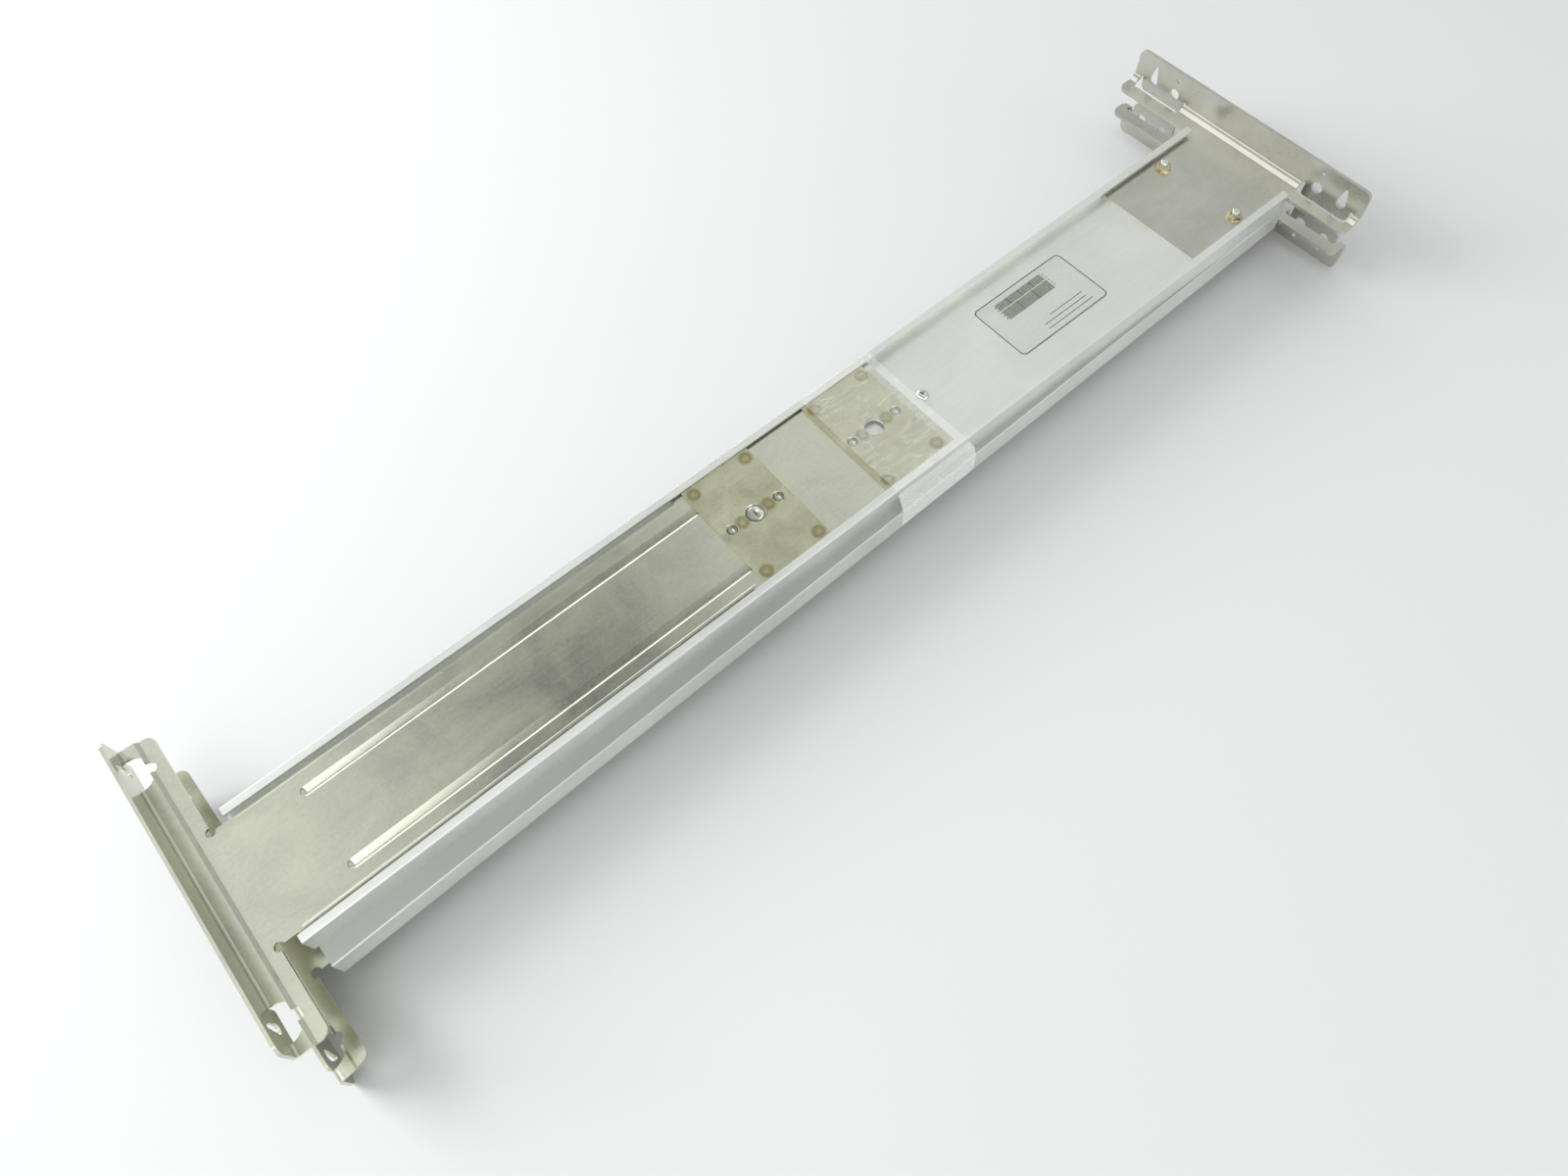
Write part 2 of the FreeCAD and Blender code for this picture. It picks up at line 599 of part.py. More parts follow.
def layUpper(piece):
    """Stand a piece of the upper rail on the lower rail, a little off its middle."""
    piece.setExpression("Placement.Base.x", "dims.upperShiftX - %s" % halfWay)
    piece.setExpression("Placement.Base.y", "dims.upperShiftY - dims.headOffset")
    piece.setExpression("Placement.Base.z", contactPlane)


def lowerTwin(piece):
    """The other hand of a piece: mirrored in the plane where the rails touch, then laid askew."""
    label = piece.Label.replace("upper_", "lower_")
    twin = doc.addObject("Part::Mirroring", label)
    twin.Label = label
    twin.Source = piece
    twin.setExpression("Base.z", contactPlane)
    twin.Normal = (0, 0, 1)
    twin.Placement.Rotation.Axis = (0, 0, 1)
    twin.setExpression("Placement.Rotation.Angle", "dims.yawAngle")
    cosine, sine = "cos(dims.yawAngle * 1 deg)", "sin(dims.yawAngle * 1 deg)"
    twin.setExpression("Placement.Base.x", "dims.upperShiftY * %s - dims.upperShiftX * %s" % (sine, cosine))
    twin.setExpression("Placement.Base.y", "-dims.upperShiftX * %s - dims.upperShiftY * %s" % (sine, cosine))
    return twin


def filmBand():
    """Clear film wound once round both rails, close on their flat sides and open at its ends."""
    half = number("dims.railWidth / 2")
    gap = number("dims.seatGap")
    contact, height = number(contactPlane), number("dims.railHeight")
    yaw = math.radians(number("dims.yawAngle"))
    offset = number("dims.headOffset")
    upperMiddle = number("dims.upperShiftY") - offset
    start = number("dims.filmStart + dims.upperShiftX - %s" % halfWay)
    width = number("dims.filmWidth")

    def section(x, grow):
        drift = (x - offset * math.sin(yaw)) * math.tan(yaw) - offset * math.cos(yaw)
        side = half + grow
        low = side / math.cos(yaw)
        top, bottom = contact + height + grow, contact - height - grow
        spots = [(upperMiddle + side, top), (upperMiddle + side, contact), (drift + low, bottom),
                 (drift - low, bottom), (drift - low, contact), (upperMiddle - side, top)]
        return Part.makePolygon([FreeCAD.Vector(x, y, z) for y, z in spots + spots[:1]])

    def shell(grow):
        return Part.makeLoft([section(start, grow), section(start + width, grow)], True, True)

    film = doc.addObject("Part::Feature", "packing_film_band")
    film.Label = "packing_film_band"
    film.Shape = shell(gap + number("dims.filmThickness")).cut(shell(gap))
    return film


def checkAndExport(pieces):
    for item in doc.Objects:
        if "Invalid" in item.State or "Error" in item.State:
            raise RuntimeError("%s failed: %s" % (item.Label, item.State))
    for piece in pieces:
        shape = piece.Shape
        if shape.isNull() or not shape.isValid():
            raise RuntimeError("%s has no valid shape" % piece.Label)
    for piece in pieces:
        piece.Shape.exportStep("parts/%s.step" % piece.Label)
        print(piece.Label, len(piece.Shape.Solids), round(piece.Shape.Volume, 1))


upper = [extrusion(), slider()]
upper += [doubler("upper_front_doubler", "dims.frontDoubler")]
upper += [doubler("upper_rear_doubler", "dims.rearDoubler")]
upper += [eyelets("upper_front_eyelets", "dims.frontDoubler", True)]
upper += [eyelets("upper_rear_eyelets", "dims.rearDoubler", False)]
upper += [rearBracket()] + studsAndNuts() + [stopScrew(), sticker()]
doc.recompute()
for piece in upper:
    layUpper(piece)
doc.recompute()
lower = [lowerTwin(piece) for piece in upper]
doc.recompute()
pieces = upper + lower + [filmBand()]
doc.recompute()
checkAndExport(pieces)
whole = Part.makeCompound([piece.Shape for piece in pieces]).BoundBox
print(whole)
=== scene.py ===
import json
import math
import bmesh
import bpy
from mathutils import Matrix, Vector


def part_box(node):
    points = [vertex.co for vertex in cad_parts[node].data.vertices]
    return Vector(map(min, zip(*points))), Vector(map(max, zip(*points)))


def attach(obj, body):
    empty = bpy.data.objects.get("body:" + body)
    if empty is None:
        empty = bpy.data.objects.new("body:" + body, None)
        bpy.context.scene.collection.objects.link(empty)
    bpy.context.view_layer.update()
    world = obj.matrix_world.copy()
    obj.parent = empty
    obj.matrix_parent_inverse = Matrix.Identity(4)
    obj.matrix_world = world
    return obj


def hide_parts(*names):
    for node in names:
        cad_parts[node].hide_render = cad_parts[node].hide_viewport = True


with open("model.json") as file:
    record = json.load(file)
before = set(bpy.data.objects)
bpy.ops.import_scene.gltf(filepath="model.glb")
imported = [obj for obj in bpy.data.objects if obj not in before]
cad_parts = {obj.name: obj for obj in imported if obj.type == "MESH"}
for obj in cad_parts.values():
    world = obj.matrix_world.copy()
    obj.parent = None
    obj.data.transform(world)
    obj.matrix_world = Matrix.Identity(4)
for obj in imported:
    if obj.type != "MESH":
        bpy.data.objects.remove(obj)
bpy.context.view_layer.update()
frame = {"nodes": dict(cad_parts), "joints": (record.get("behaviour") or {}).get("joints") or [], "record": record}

mm = 0.001
yaw = math.atan2(frame["joints"][1]["axis"][1], frame["joints"][1]["axis"][0])   # the lower rail lies askew
print("frame loaded")


def linear(hexColour):
    # sRGB hex to the linear values that Blender's sockets hold
    parts = [int(hexColour[i:i + 2], 16) / 255 for i in (1, 3, 5)]
    return [c / 12.92 if c <= 0.04045 else ((c + 0.055) / 1.055) ** 2.4 for c in parts] + [1.0]


def addNode(tree, kind, inputs=None, **settings):
    # one node with its settings, its values and the links that come into it
    node = tree.nodes.new(kind)
    for name, value in settings.items():
        setattr(node, name, value)
    for name, value in (inputs or {}).items():
        if isinstance(value, bpy.types.NodeSocket):
            tree.links.new(value, node.inputs[name])
        else:
            node.inputs[name].default_value = value
    return node


def maths(tree, operation, *values, **settings):
    # one sum of a tree, on numbers or sockets
    node = addNode(tree, "ShaderNodeMath", dict(enumerate(values)), operation=operation, **settings)
    return node.outputs[0]


def noise(tree, where, scale, detail, **more):
    inputs = {"Vector": where, "Scale": scale, "Detail": detail, **more}
    return addNode(tree, "ShaderNodeTexNoise", inputs).outputs["Fac"]


def mapped(tree, value, source, target=(0.0, 1.0), **settings):
    # a value carried from one range to another
    inputs = {"Value": value, "From Min": source[0], "From Max": source[1], "To Min": target[0],
              "To Max": target[1]}
    return addNode(tree, "ShaderNodeMapRange", inputs, **settings).outputs["Result"]


def axesOf(tree, where):
    return addNode(tree, "ShaderNodeSeparateXYZ", {"Vector": where}).outputs


def objectPlace(tree):
    return addNode(tree, "ShaderNodeTexCoord").outputs["Object"]


def mixedNumbers(tree, factor, first, second):
    # inputs 2 and 3 of a mix node are its numbers
    return addNode(tree, "ShaderNodeMix", {"Factor": factor, 2: first, 3: second}).outputs[0]


def mixedColours(tree, factor, first, second, blend="MIX"):
    # inputs 6 and 7 of a mix node are its colours, and output 2 is what comes of them
    return addNode(tree, "ShaderNodeMix", {"Factor": factor, 6: first, 7: second}, data_type="RGBA",
                   blend_type=blend).outputs[2]


def newMaterial(name, **base):
    material = bpy.data.materials.new(name)
    material.use_nodes = True
    shader = material.node_tree.nodes["Principled BSDF"]
    for socket, value in base.items():
        shader.inputs[socket.replace("_", " ")].default_value = value
    return material, material.node_tree, shader


def overlaid(material, factor, colour, blend="MIX"):
    # a colour laid over the material's own
    tree = material.node_tree
    base = tree.nodes["Principled BSDF"].inputs["Base Color"]
    plain = base.links[0].from_socket
    tree.links.new(mixedColours(tree, factor, plain, colour, blend), base)
    return material


def shades(tree, factor, stops):
    # colours along a factor, as sRGB hex
    node = addNode(tree, "ShaderNodeValToRGB", {"Fac": factor})
    elements = node.color_ramp.elements
    while len(elements) < len(stops):
        elements.new(0.5)
    for element, (place, colour) in zip(elements, stops):
        element.position = place
        element.color = linear(colour)
    return node.outputs["Color"]


def middleOf(node):
    low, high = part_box(node)
    return (low + high) / 2


def seat(node, rail):
    # where a node's outer face is, and how the rail that carries it is turned
    low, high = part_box(node)
    spot = (low + high) / 2
    if rail == "upper":
        spot.z = high.z
        return Matrix.Translation(spot)
    spot.z = low.z
    return Matrix.Translation(spot) @ Matrix.Rotation(yaw, 4, "Z") @ Matrix.Rotation(math.pi, 4, "X")


# what the metals share: how many times longer than wide a line is, where the three colours stand in the
# noise, the part of the noise that the roughness follows, and how deep the relief is
grain = {"stretch": 90, "stops": (0.36, 0.5, 0.64), "span": (0.35, 0.65), "relief": 0.05 * mm}


def metalSheet(name, looks):
    # satin metal: fine lines along X from rolling or drawing, and soft clouds from plating and handling
    material, tree, shader = newMaterial(name, Metallic=1.0)
    place = objectPlace(tree)
    across = 1 / (looks["lineMm"] * mm)
    drawn = addNode(tree, "ShaderNodeMapping", {"Vector": place,
                                                "Scale": (across / grain["stretch"], across, across)})
    lines = noise(tree, drawn.outputs["Vector"], 1.0, 3.0)
    clouds = noise(tree, place, 1 / (looks["cloudMm"] * mm), 5.0, Roughness=0.6, Distortion=0.6)
    specks = noise(tree, place, 1 / (looks["speckMm"] * mm), 2.0)
    soft = mixedNumbers(tree, looks["lineShare"], clouds, lines)
    mixed = mixedNumbers(tree, looks["speckShare"], soft, specks)
    tint = shades(tree, mixed, list(zip(grain["stops"], looks["colours"])))
    tree.links.new(tint, shader.inputs["Base Color"])
    tree.links.new(mapped(tree, mixed, grain["span"], looks["roughness"]), shader.inputs["Roughness"])
    if looks["bump"] > 0:
        relief = addNode(tree, "ShaderNodeBump", {"Height": soft, "Strength": looks["bump"],
                                                  "Distance": grain["relief"]})
        tree.links.new(relief.outputs["Normal"], shader.inputs["Normal"])
    return material


# satin anodised aluminium: pale, even, faint die lines; the lines are drawn 0.7 mm apart so that they show
aluminiumLooks = {
    "colours": ("#E4E6E1", "#EAECE7", "#F0F1ED"), "roughness": (0.38, 0.46), "lineMm": 0.7, "cloudMm": 70,
    "speckMm": 3, "lineShare": 0.3, "speckShare": 0.1, "bump": 0.05}
aluminium = metalSheet("satinAnodisedAluminium", aluminiumLooks)
# its corners: smoother, and painted lighter than the rest as a painted highlight, so that they show as thin pale
# lines
edgeAluminiumPaintedHighlight = metalSheet("aluminiumEdgePaintedHighlight", {
    "colours": ("#ECEDE9", "#F0F1ED", "#F4F5F2"), "roughness": (0.32, 0.38), "lineMm": 0.7, "cloudMm": 40,
    "speckMm": 3, "lineShare": 0.3, "speckShare": 0.1, "bump": 0.0})
# galvanised sheet, rolled: olive cast, broad soft clouds under faint rolling lines
sliderSteel = metalSheet("skinPassedGalvanisedSheet", {
    "colours": ("#C0C0B6", "#CBCCBC", "#D3D5C2"), "roughness": (0.20, 0.27), "lineMm": 1.1, "cloudMm": 38,
    "speckMm": 1.6, "lineShare": 0.13, "speckShare": 0.18, "bump": 0.03})
# the plates on it: duller and browner, with a tighter mottle
doublerLooks = {
    "colours": ("#B2B198", "#BFBFA5", "#CACBB2"), "roughness": (0.34, 0.46), "lineMm": 1.0, "cloudMm": 14,
    "speckMm": 1.5, "lineShare": 0.15, "speckShare": 0.2, "bump": 0.06}
# the fixed brackets: a plain even grey sheen
bracketSteel = metalSheet("galvanisedBracketSheet", {
    "colours": ("#C0C0B6", "#CBCBC2", "#D5D5CC"), "roughness": (0.26, 0.34), "lineMm": 1.2, "cloudMm": 60,
    "speckMm": 4, "lineShare": 0.15, "speckShare": 0.1, "bump": 0.0})
# bright zinc on small turned and pressed parts
brightZinc = metalSheet("clearZincPlating", {
    "colours": ("#D2D8D2", "#DEE3DE", "#E8ECE8"), "roughness": (0.12, 0.22), "lineMm": 0.4, "cloudMm": 3,
    "speckMm": 0.5, "lineShare": 0.1, "speckShare": 0.1, "bump": 0.05})
# deep-drawn cups: the same zinc on a smoother skin
cupZinc = metalSheet("burnishedZinc", {
    "colours": ("#A9AA9E", "#B5B6AA", "#BFC0B5"), "roughness": (0.16, 0.24), "lineMm": 0.5, "cloudMm": 4,
    "speckMm": 0.6, "lineShare": 0.1, "speckShare": 0.1, "bump": 0.02})
# the nuts' yellow passivation: straw coloured beside the grey sheet
yellowZinc = metalSheet("yellowZincPlating", {
    "colours": ("#B9AE88", "#CBC29F", "#DAD4B8"), "roughness": (0.18, 0.30), "lineMm": 0.4, "cloudMm": 2.5,
    "speckMm": 0.5, "lineShare": 0.1, "speckShare": 0.1, "bump": 0.05})

# spot welds: four at a doubler's corners and two between its holes
weldSizes = {"Along": 32 * mm, "Across": 54.8 * mm, "Inner": 15.8 * mm, "Radius": 2.7 * mm,
             "Crown": 0.05 * mm, "Wire": 0.06 * mm}
# the brown mark round a weld: how far it reaches, the grain of its smoke and how much that frays it
scorch = {"reach": 6 * mm, "smoke": 1.3 * mm, "fray": 1.1 * mm,
          "stops": [(0.0, "#EEEADC"), (0.30, "#E2DCCA"), (0.50, "#CAC2AA"), (0.60, "#D8D1BC"),
                    (0.80, "#FFFFFF")]}


def weldedPlate(rail, turn):
    # dull galvanised plate with the brown rings that spot welds leave: the pattern is folded on itself, so
    # one distance serves every weld of a rail
    material = metalSheet(f"weldedGalvanisedPlate_{rail}", doublerLooks)
    tree = material.node_tree
    middle = middleOf(f"{rail}_front_doubler")
    period = (middleOf(f"{rail}_rear_doubler") - middle).length
    place = objectPlace(tree)
    moved = addNode(tree, "ShaderNodeVectorMath", {0: place, 1: middle}, operation="SUBTRACT")
    straight = addNode(tree, "ShaderNodeVectorRotate", {"Vector": moved.outputs["Vector"], "Angle": -turn})
    axes = axesOf(tree, straight.outputs["Vector"])
    along = maths(tree, "ABSOLUTE", maths(tree, "WRAP", axes["X"], period / 2, -period / 2))
    across = maths(tree, "ABSOLUTE", axes["Y"])

    def distanceTo(x, y):
        way = addNode(tree, "ShaderNodeCombineXYZ", {"X": maths(tree, "SUBTRACT", along, x),
                                                     "Y": maths(tree, "SUBTRACT", across, y)})
        return addNode(tree, "ShaderNodeVectorMath", {0: way.outputs["Vector"]},
                       operation="LENGTH").outputs["Value"]

    nearest = maths(tree, "MINIMUM", distanceTo(weldSizes["Along"] / 2, weldSizes["Across"] / 2),
                    distanceTo(weldSizes["Inner"] / 2, 0.0))
    smoke = noise(tree, place, 1 / scorch["smoke"], 3.0)
    frayed = maths(tree, "ADD", nearest, maths(tree, "MULTIPLY", smoke, scorch["fray"]))
    tint = shades(tree, maths(tree, "DIVIDE", frayed, scorch["reach"]), scorch["stops"])
    return overlaid(material, 1.0, tint, "MULTIPLY")


upperPlates, lowerPlates = weldedPlate("upper", 0.0), weldedPlate("lower", yaw)

stickerLooks = {"toothSize": 0.8 * mm, "stops": (0.3, 0.7), "bump": 0.05, "relief": 0.02 * mm}


def printedSticker(name, colours, roughness):
    # polyester sticker: even tone, very fine tooth of the coating
    material, tree, shader = newMaterial(name, Roughness=roughness)
    tooth = noise(tree, objectPlace(tree), 1 / stickerLooks["toothSize"], 2.0)
    tint = shades(tree, tooth, list(zip(stickerLooks["stops"], colours)))
    tree.links.new(tint, shader.inputs["Base Color"])
    relief = addNode(tree, "ShaderNodeBump", {"Height": tooth, "Strength": stickerLooks["bump"],
                                              "Distance": stickerLooks["relief"]})
    tree.links.new(relief.outputs["Normal"], shader.inputs["Normal"])
    return material


labelSilver = printedSticker("silverPolyesterLabel", ("#A6A9A3", "#ADB0AA"), 0.4)
labelInk = printedSticker("greyLabelInk", ("#161816", "#202220"), 0.5)
panelInk = printedSticker("paleLabelInk", ("#64675E", "#7E8176"), 0.5)

# how the film's haze lies: its slant, its run along each axis in mm, how much of the noise is a crease, the
# cover on a crease and off it, and the milky veil down the sides, between two depths under the top
filmLooks = {"slant": (0.3, 0.2, 0.7), "runsMm": (22, 5, 7), "fold": 0.03, "cover": (0.13, 0.06),
             "veilDepths": (1 * mm, 3 * mm), "veil": 0.22}


def clearFilm():
    # stretched polyethylene: nearly clear where it lies on metal, milky along its creases and where it spans
    # the step from one rail to the other
    material, tree, shader = newMaterial("stretchedPolyethylene", Base_Color=linear("#F2F4F2"),
                                         Roughness=0.12, IOR=1.5)
    place = objectPlace(tree)
    slanted = addNode(tree, "ShaderNodeMapping", {"Vector": place, "Rotation": filmLooks["slant"],
                                                  "Scale": [1 / (run * mm) for run in filmLooks["runsMm"]]})
    haze = noise(tree, slanted.outputs["Vector"], 1.0, 4.0, Distortion=0.8)
    fold = maths(tree, "ABSOLUTE", maths(tree, "SUBTRACT", haze, 0.5))
    crease = mapped(tree, fold, (0.0, filmLooks["fold"]), filmLooks["cover"])
    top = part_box("upper_channel")[1].z
    veil = mapped(tree, axesOf(tree, place)["Z"], [top - depth for depth in filmLooks["veilDepths"]],
                  (0.0, filmLooks["veil"]))
    tree.links.new(maths(tree, "ADD", crease, veil, use_clamp=True), shader.inputs["Alpha"])
    return material


filmClear = clearFilm()
finishes = {"aluminium_extrusion": aluminium, "slider_steel": sliderSteel, "doubler_steel": upperPlates,
            "bracket_steel": bracketSteel, "bright_steel": brightZinc, "yellow_zinc": yellowZinc,
            "label_film": labelSilver, "clear_film": filmClear}
for row in frame["record"]["subparts"]:
    mesh = frame["nodes"][row["node"]].data
    mesh.materials.clear()
    lowerPlate = row["material_slot"] == "doubler_steel" and row["node"].startswith("lower")
    mesh.materials.append(lowerPlates if lowerPlate else finishes[row["material_slot"]])


# how far under a channel's back the painted shade begins, and where it is full
backShadeDepths = (0.6 * mm, 0.2 * mm)


def paintedShadeOnBack(material):
    # the back of a channel: the same metal, painted darker and greener as painted shade where the upper rail
    # shadows it
    tree = material.node_tree
    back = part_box("lower_channel")[1].z
    share = mapped(tree, axesOf(tree, objectPlace(tree))["Z"], [back - depth for depth in backShadeDepths])
    return overlaid(material, share, linear("#B2B7B2"))


# the lower channel takes the aluminium with the painted shade on its back
lowerAluminiumWithShadedBack = paintedShadeOnBack(metalSheet("satinAluminiumWithPaintedShade", aluminiumLooks))
frame["nodes"]["lower_channel"].data.materials[0] = lowerAluminiumWithShadedBack
print("materials done")


def linked(name, mesh):
    thing = bpy.data.objects.new(name, mesh)
    bpy.context.scene.collection.objects.link(thing)
    return thing


def finished(name, mesh, place, body, material=None, stands=()):
    # a mesh with its place in it, on its body
    mesh.transform(place)
    mesh.name = name
    if material:
        mesh.materials.clear()
        mesh.materials.append(material)
    piece = linked(name, mesh)
    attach(piece, body)
    if stands:
        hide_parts(*stands)
    return piece


def evaluated(holder, *helpers):
    # the mesh that a throwaway object has with its modifiers
    graph = bpy.context.evaluated_depsgraph_get()
    result = bpy.data.meshes.new_from_object(holder.evaluated_get(graph), depsgraph=graph)
    for thing in (holder, *helpers):
        bpy.data.objects.remove(thing)
    return result


def baked(tree, mesh, values, name):
    # the plain mesh that a tree makes of a mesh, with its named inputs set
    holder = linked(name, mesh)
    modifier = holder.modifiers.new("tree", "NODES")
    modifier.node_group = tree
    for item in tree.interface.items_tree:
        if item.in_out == "INPUT" and item.name in values:
            modifier[item.identifier] = values[item.name]
    return evaluated(holder)


def thickened(mesh, thickness, offset=1.0):
    holder = linked("skinHolder", mesh)
    skin = holder.modifiers.new("skin", "SOLIDIFY")
    skin.thickness = thickness
    skin.offset = offset
    return evaluated(holder)


def meshOf(shape, name):
    # a mesh of a bmesh, which is freed
    mesh = bpy.data.meshes.new(name)
    shape.to_mesh(mesh)
    shape.free()
    return mesh


def joined(name, parts):
    # one mesh of several, each moved to its spot
    shape = bmesh.new()
    for mesh, spot in parts:
        mesh.transform(Matrix.Translation(spot))
        shape.from_mesh(mesh)
        bpy.data.meshes.remove(mesh)
    return meshOf(shape, name)


def smooth(mesh, angle=35):
    mesh.shade_smooth()
    mesh.set_sharp_from_angle(angle=math.radians(angle))
    return mesh


def ringStack(rings, steps, closed):
    # a turned shape: each ring gives (radius, height) at an angle; closed joins the last ring to the first
    shape = bmesh.new()
    rows = []
    for ring in rings:
        angles = [2 * math.pi * step / steps for step in range(steps)]
        spots = [(ring(a)[0] * math.cos(a), ring(a)[0] * math.sin(a), ring(a)[1]) for a in angles]
        rows.append([shape.verts.new(spot) for spot in spots])
    pairs = list(zip(rows, rows[1:])) + ([(rows[-1], rows[0])] if closed else [])
    for lower, upper in pairs:
        for i in range(steps):
            j = (i + 1) % steps
            shape.faces.new((lower[i], lower[j], upper[j], upper[i]))
    if not closed:
        shape.faces.new(list(reversed(rows[0])))
        shape.faces.new(rows[-1])
    bmesh.ops.recalc_face_normals(shape, faces=shape.faces)
    return meshOf(shape, "turned")


def turned(profile, steps):
    # a closed shape turned from (radius, height) spots
    return ringStack([lambda a, spot=spot: spot for spot in profile], steps, False)


def newTree(name, floats):
    tree = bpy.data.node_groups.new(name, "GeometryNodeTree")
    tree.interface.new_socket("Geometry", in_out="INPUT", socket_type="NodeSocketGeometry")
    for label, value in floats.items():
        socket = tree.interface.new_socket(label, in_out="INPUT", socket_type="NodeSocketFloat")
        socket.default_value = value
    tree.interface.new_socket("Geometry", in_out="OUTPUT", socket_type="NodeSocketGeometry")
    return tree, addNode(tree, "NodeGroupInput").outputs


def endTree(tree, geometry, material):
    real = addNode(tree, "GeometryNodeRealizeInstances", {"Geometry": geometry})
    done = addNode(tree, "GeometryNodeSetMaterial", {"Geometry": real.outputs["Geometry"],
                                                     "Material": material})
    addNode(tree, "NodeGroupOutput", {"Geometry": done.outputs["Geometry"]})
    return tree


def vector(tree, x=0.0, y=0.0, z=0.0):
    return addNode(tree, "ShaderNodeCombineXYZ", {"X": x, "Y": y, "Z": z}).outputs["Vector"]


def together(tree, *parts):
    node = addNode(tree, "GeometryNodeJoinGeometry")
    for part in parts:
        tree.links.new(part, node.inputs[0])
    return node.outputs["Geometry"]


def copied(tree, points, instance):
    # an instance on every point
    return addNode(tree, "GeometryNodeInstanceOnPoints", {"Points": points,
                                                          "Instance": instance}).outputs["Instances"]


def moved(tree, geometry, **change):
    return addNode(tree, "GeometryNodeTransform", {"Geometry": geometry, **change}).outputs["Geometry"]


def circleOf(tree, radius, steps):
    return addNode(tree, "GeometryNodeCurvePrimitiveCircle", {"Resolution": steps,
                                                              "Radius": radius}).outputs["Curve"]


def swept(tree, path, profile, **more):
    return addNode(tree, "GeometryNodeCurveToMesh", {"Curve": path, "Profile Curve": profile,
                                                     **more}).outputs["Mesh"]


def barrel(tree, radius, depth, steps):
    return addNode(tree, "GeometryNodeMeshCylinder", {"Vertices": steps, "Radius": radius,
                                                      "Depth": depth}).outputs["Mesh"]


def weldTree():
    # a low crown and a fine rim at each spot weld
    tree, given = newTree("spotWelds", weldSizes)
    corners = addNode(tree, "GeometryNodeMeshGrid", {"Size X": given["Along"], "Size Y": given["Across"],
                                                     "Vertices X": 2, "Vertices Y": 2})
    half = maths(tree, "MULTIPLY", given["Inner"], -0.5)
    inner = addNode(tree, "GeometryNodeMeshLine", {"Count": 2, "Start Location": vector(tree, half),
                                                   "Offset": vector(tree, given["Inner"])})
    spots = together(tree, corners.outputs["Mesh"], inner.outputs["Mesh"])
    ball = addNode(tree, "GeometryNodeMeshUVSphere", {"Segments": 28, "Rings": 10, "Radius": 1.0})
    crown = moved(tree, ball.outputs["Mesh"],
                  Scale=vector(tree, given["Radius"], given["Radius"], given["Crown"]))
    rim = swept(tree, circleOf(tree, given["Radius"], 36), circleOf(tree, given["Wire"], 8))
    return endTree(tree, copied(tree, spots, together(tree, crown, rim)), upperPlates)


spotWelds = weldTree()
for rail, plates in (("upper", upperPlates), ("lower", lowerPlates)):
    for which in ("front", "rear"):
        mesh = baked(spotWelds, bpy.data.meshes.new("blank"), weldSizes, "weldHolder")
        finished(f"{rail}_{which}_spot_welds", smooth(mesh), seat(f"{rail}_{which}_doubler", rail),
                 f"{rail}_slider", plates)
print("spot welds done")

# pressed beads of the sliders; the profile gives (share of the width, share of the depth)
beadSizes = {"width": 5.2 * mm, "depth": 0.95 * mm, "off": 20.2 * mm, "start": 29 * mm, "end": 262 * mm,
             "skin": 0.12 * mm, "sink": 0.01 * mm, "across": 50, "endSteps": 12,
             "profile": [(0, 0), (0.12, 0.24), (0.20, 0.80), (0.26, 1), (0.34, 0.97), (0.94, 0.06), (1, 0)]}


def dropToSlider(rail):
    # how far the slider's open face lies under the rims of its channel
    doublerLow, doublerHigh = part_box(f"{rail}_front_doubler")
    channelLow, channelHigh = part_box(f"{rail}_channel")
    return channelHigh.z - doublerLow.z if rail == "upper" else doublerHigh.z - channelLow.z


def beadDepth(share):
    # how deep the floor of a bead is across it: a narrow facet, a steep wall, then a long gentle slope
    stops = beadSizes["profile"]
    for (before, low), (after, high) in zip(stops, stops[1:]):
        if share <= after:
            return beadSizes["depth"] * (low + (high - low) * (share - before) / (after - before))
    return 0.0


def beadSkin(hand):
    # the floors of both pressed beads, with rounded ends, measured from the channel's middle
    half, across, steps = beadSizes["width"] / 2, beadSizes["across"], beadSizes["endSteps"]
    low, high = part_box("upper_channel")
    start = beadSizes["start"] - (high.x - low.x) / 2
    end = beadSizes["end"] - (high.x - low.x) / 2
    ends = [half * (1 - math.cos(math.pi / 2 * i / steps)) for i in range(1, steps + 1)]
    spots, faces = [], []
    for x in [start + e for e in ends] + [end - e for e in reversed(ends)]:
        past = max(start + half - x, x - end + half, 0.0) / half
        reach = math.sqrt(max(1 - past ** 2, 0.0))
        for i in range(across + 1):
            share = i / across
            depth = beadDepth(share) * (0.5 + 0.5 * math.cos(math.pi * past))
            spots.append((x, hand * half * reach * (2 * share - 1), -depth - beadSizes["sink"]))
    row = across + 1
    for i in range(len(ends) * 2 - 1):
        for j in range(across):
            faces.append((i * row + j, (i + 1) * row + j, (i + 1) * row + j + 1, i * row + j + 1)[::hand])
    floors = []
    for side in (-1, 1):
        mesh = bpy.data.meshes.new("bead")
        mesh.from_pydata(spots, [], faces)
        floors.append((mesh, (0, side * beadSizes["off"], 0)))
    return thickened(joined("beads", floors), beadSizes["skin"], -1.0)


for rail, hand in (("upper", 1), ("lower", -1)):
    finished(f"{rail}_pressed_beads", smooth(beadSkin(hand), 60),
             seat(f"{rail}_channel", rail) @ Matrix.Translation((0, 0, -dropToSlider(rail))),
             f"{rail}_slider", sliderSteel)
print("beads done")

# rolled long edges of the sliders, and the rounded corners of the channels: bright lines beside dark gaps
edgeSizes = {"rolled": 0.85 * mm, "proud": 0.3 * mm, "start": 3 * mm, "end": 239 * mm, "gap": 1.8 * mm,
             "corner": 0.5 * mm, "cornerProud": 0.07 * mm, "inset": 0.2 * mm, "lip": 4 * mm, "sides": 20}


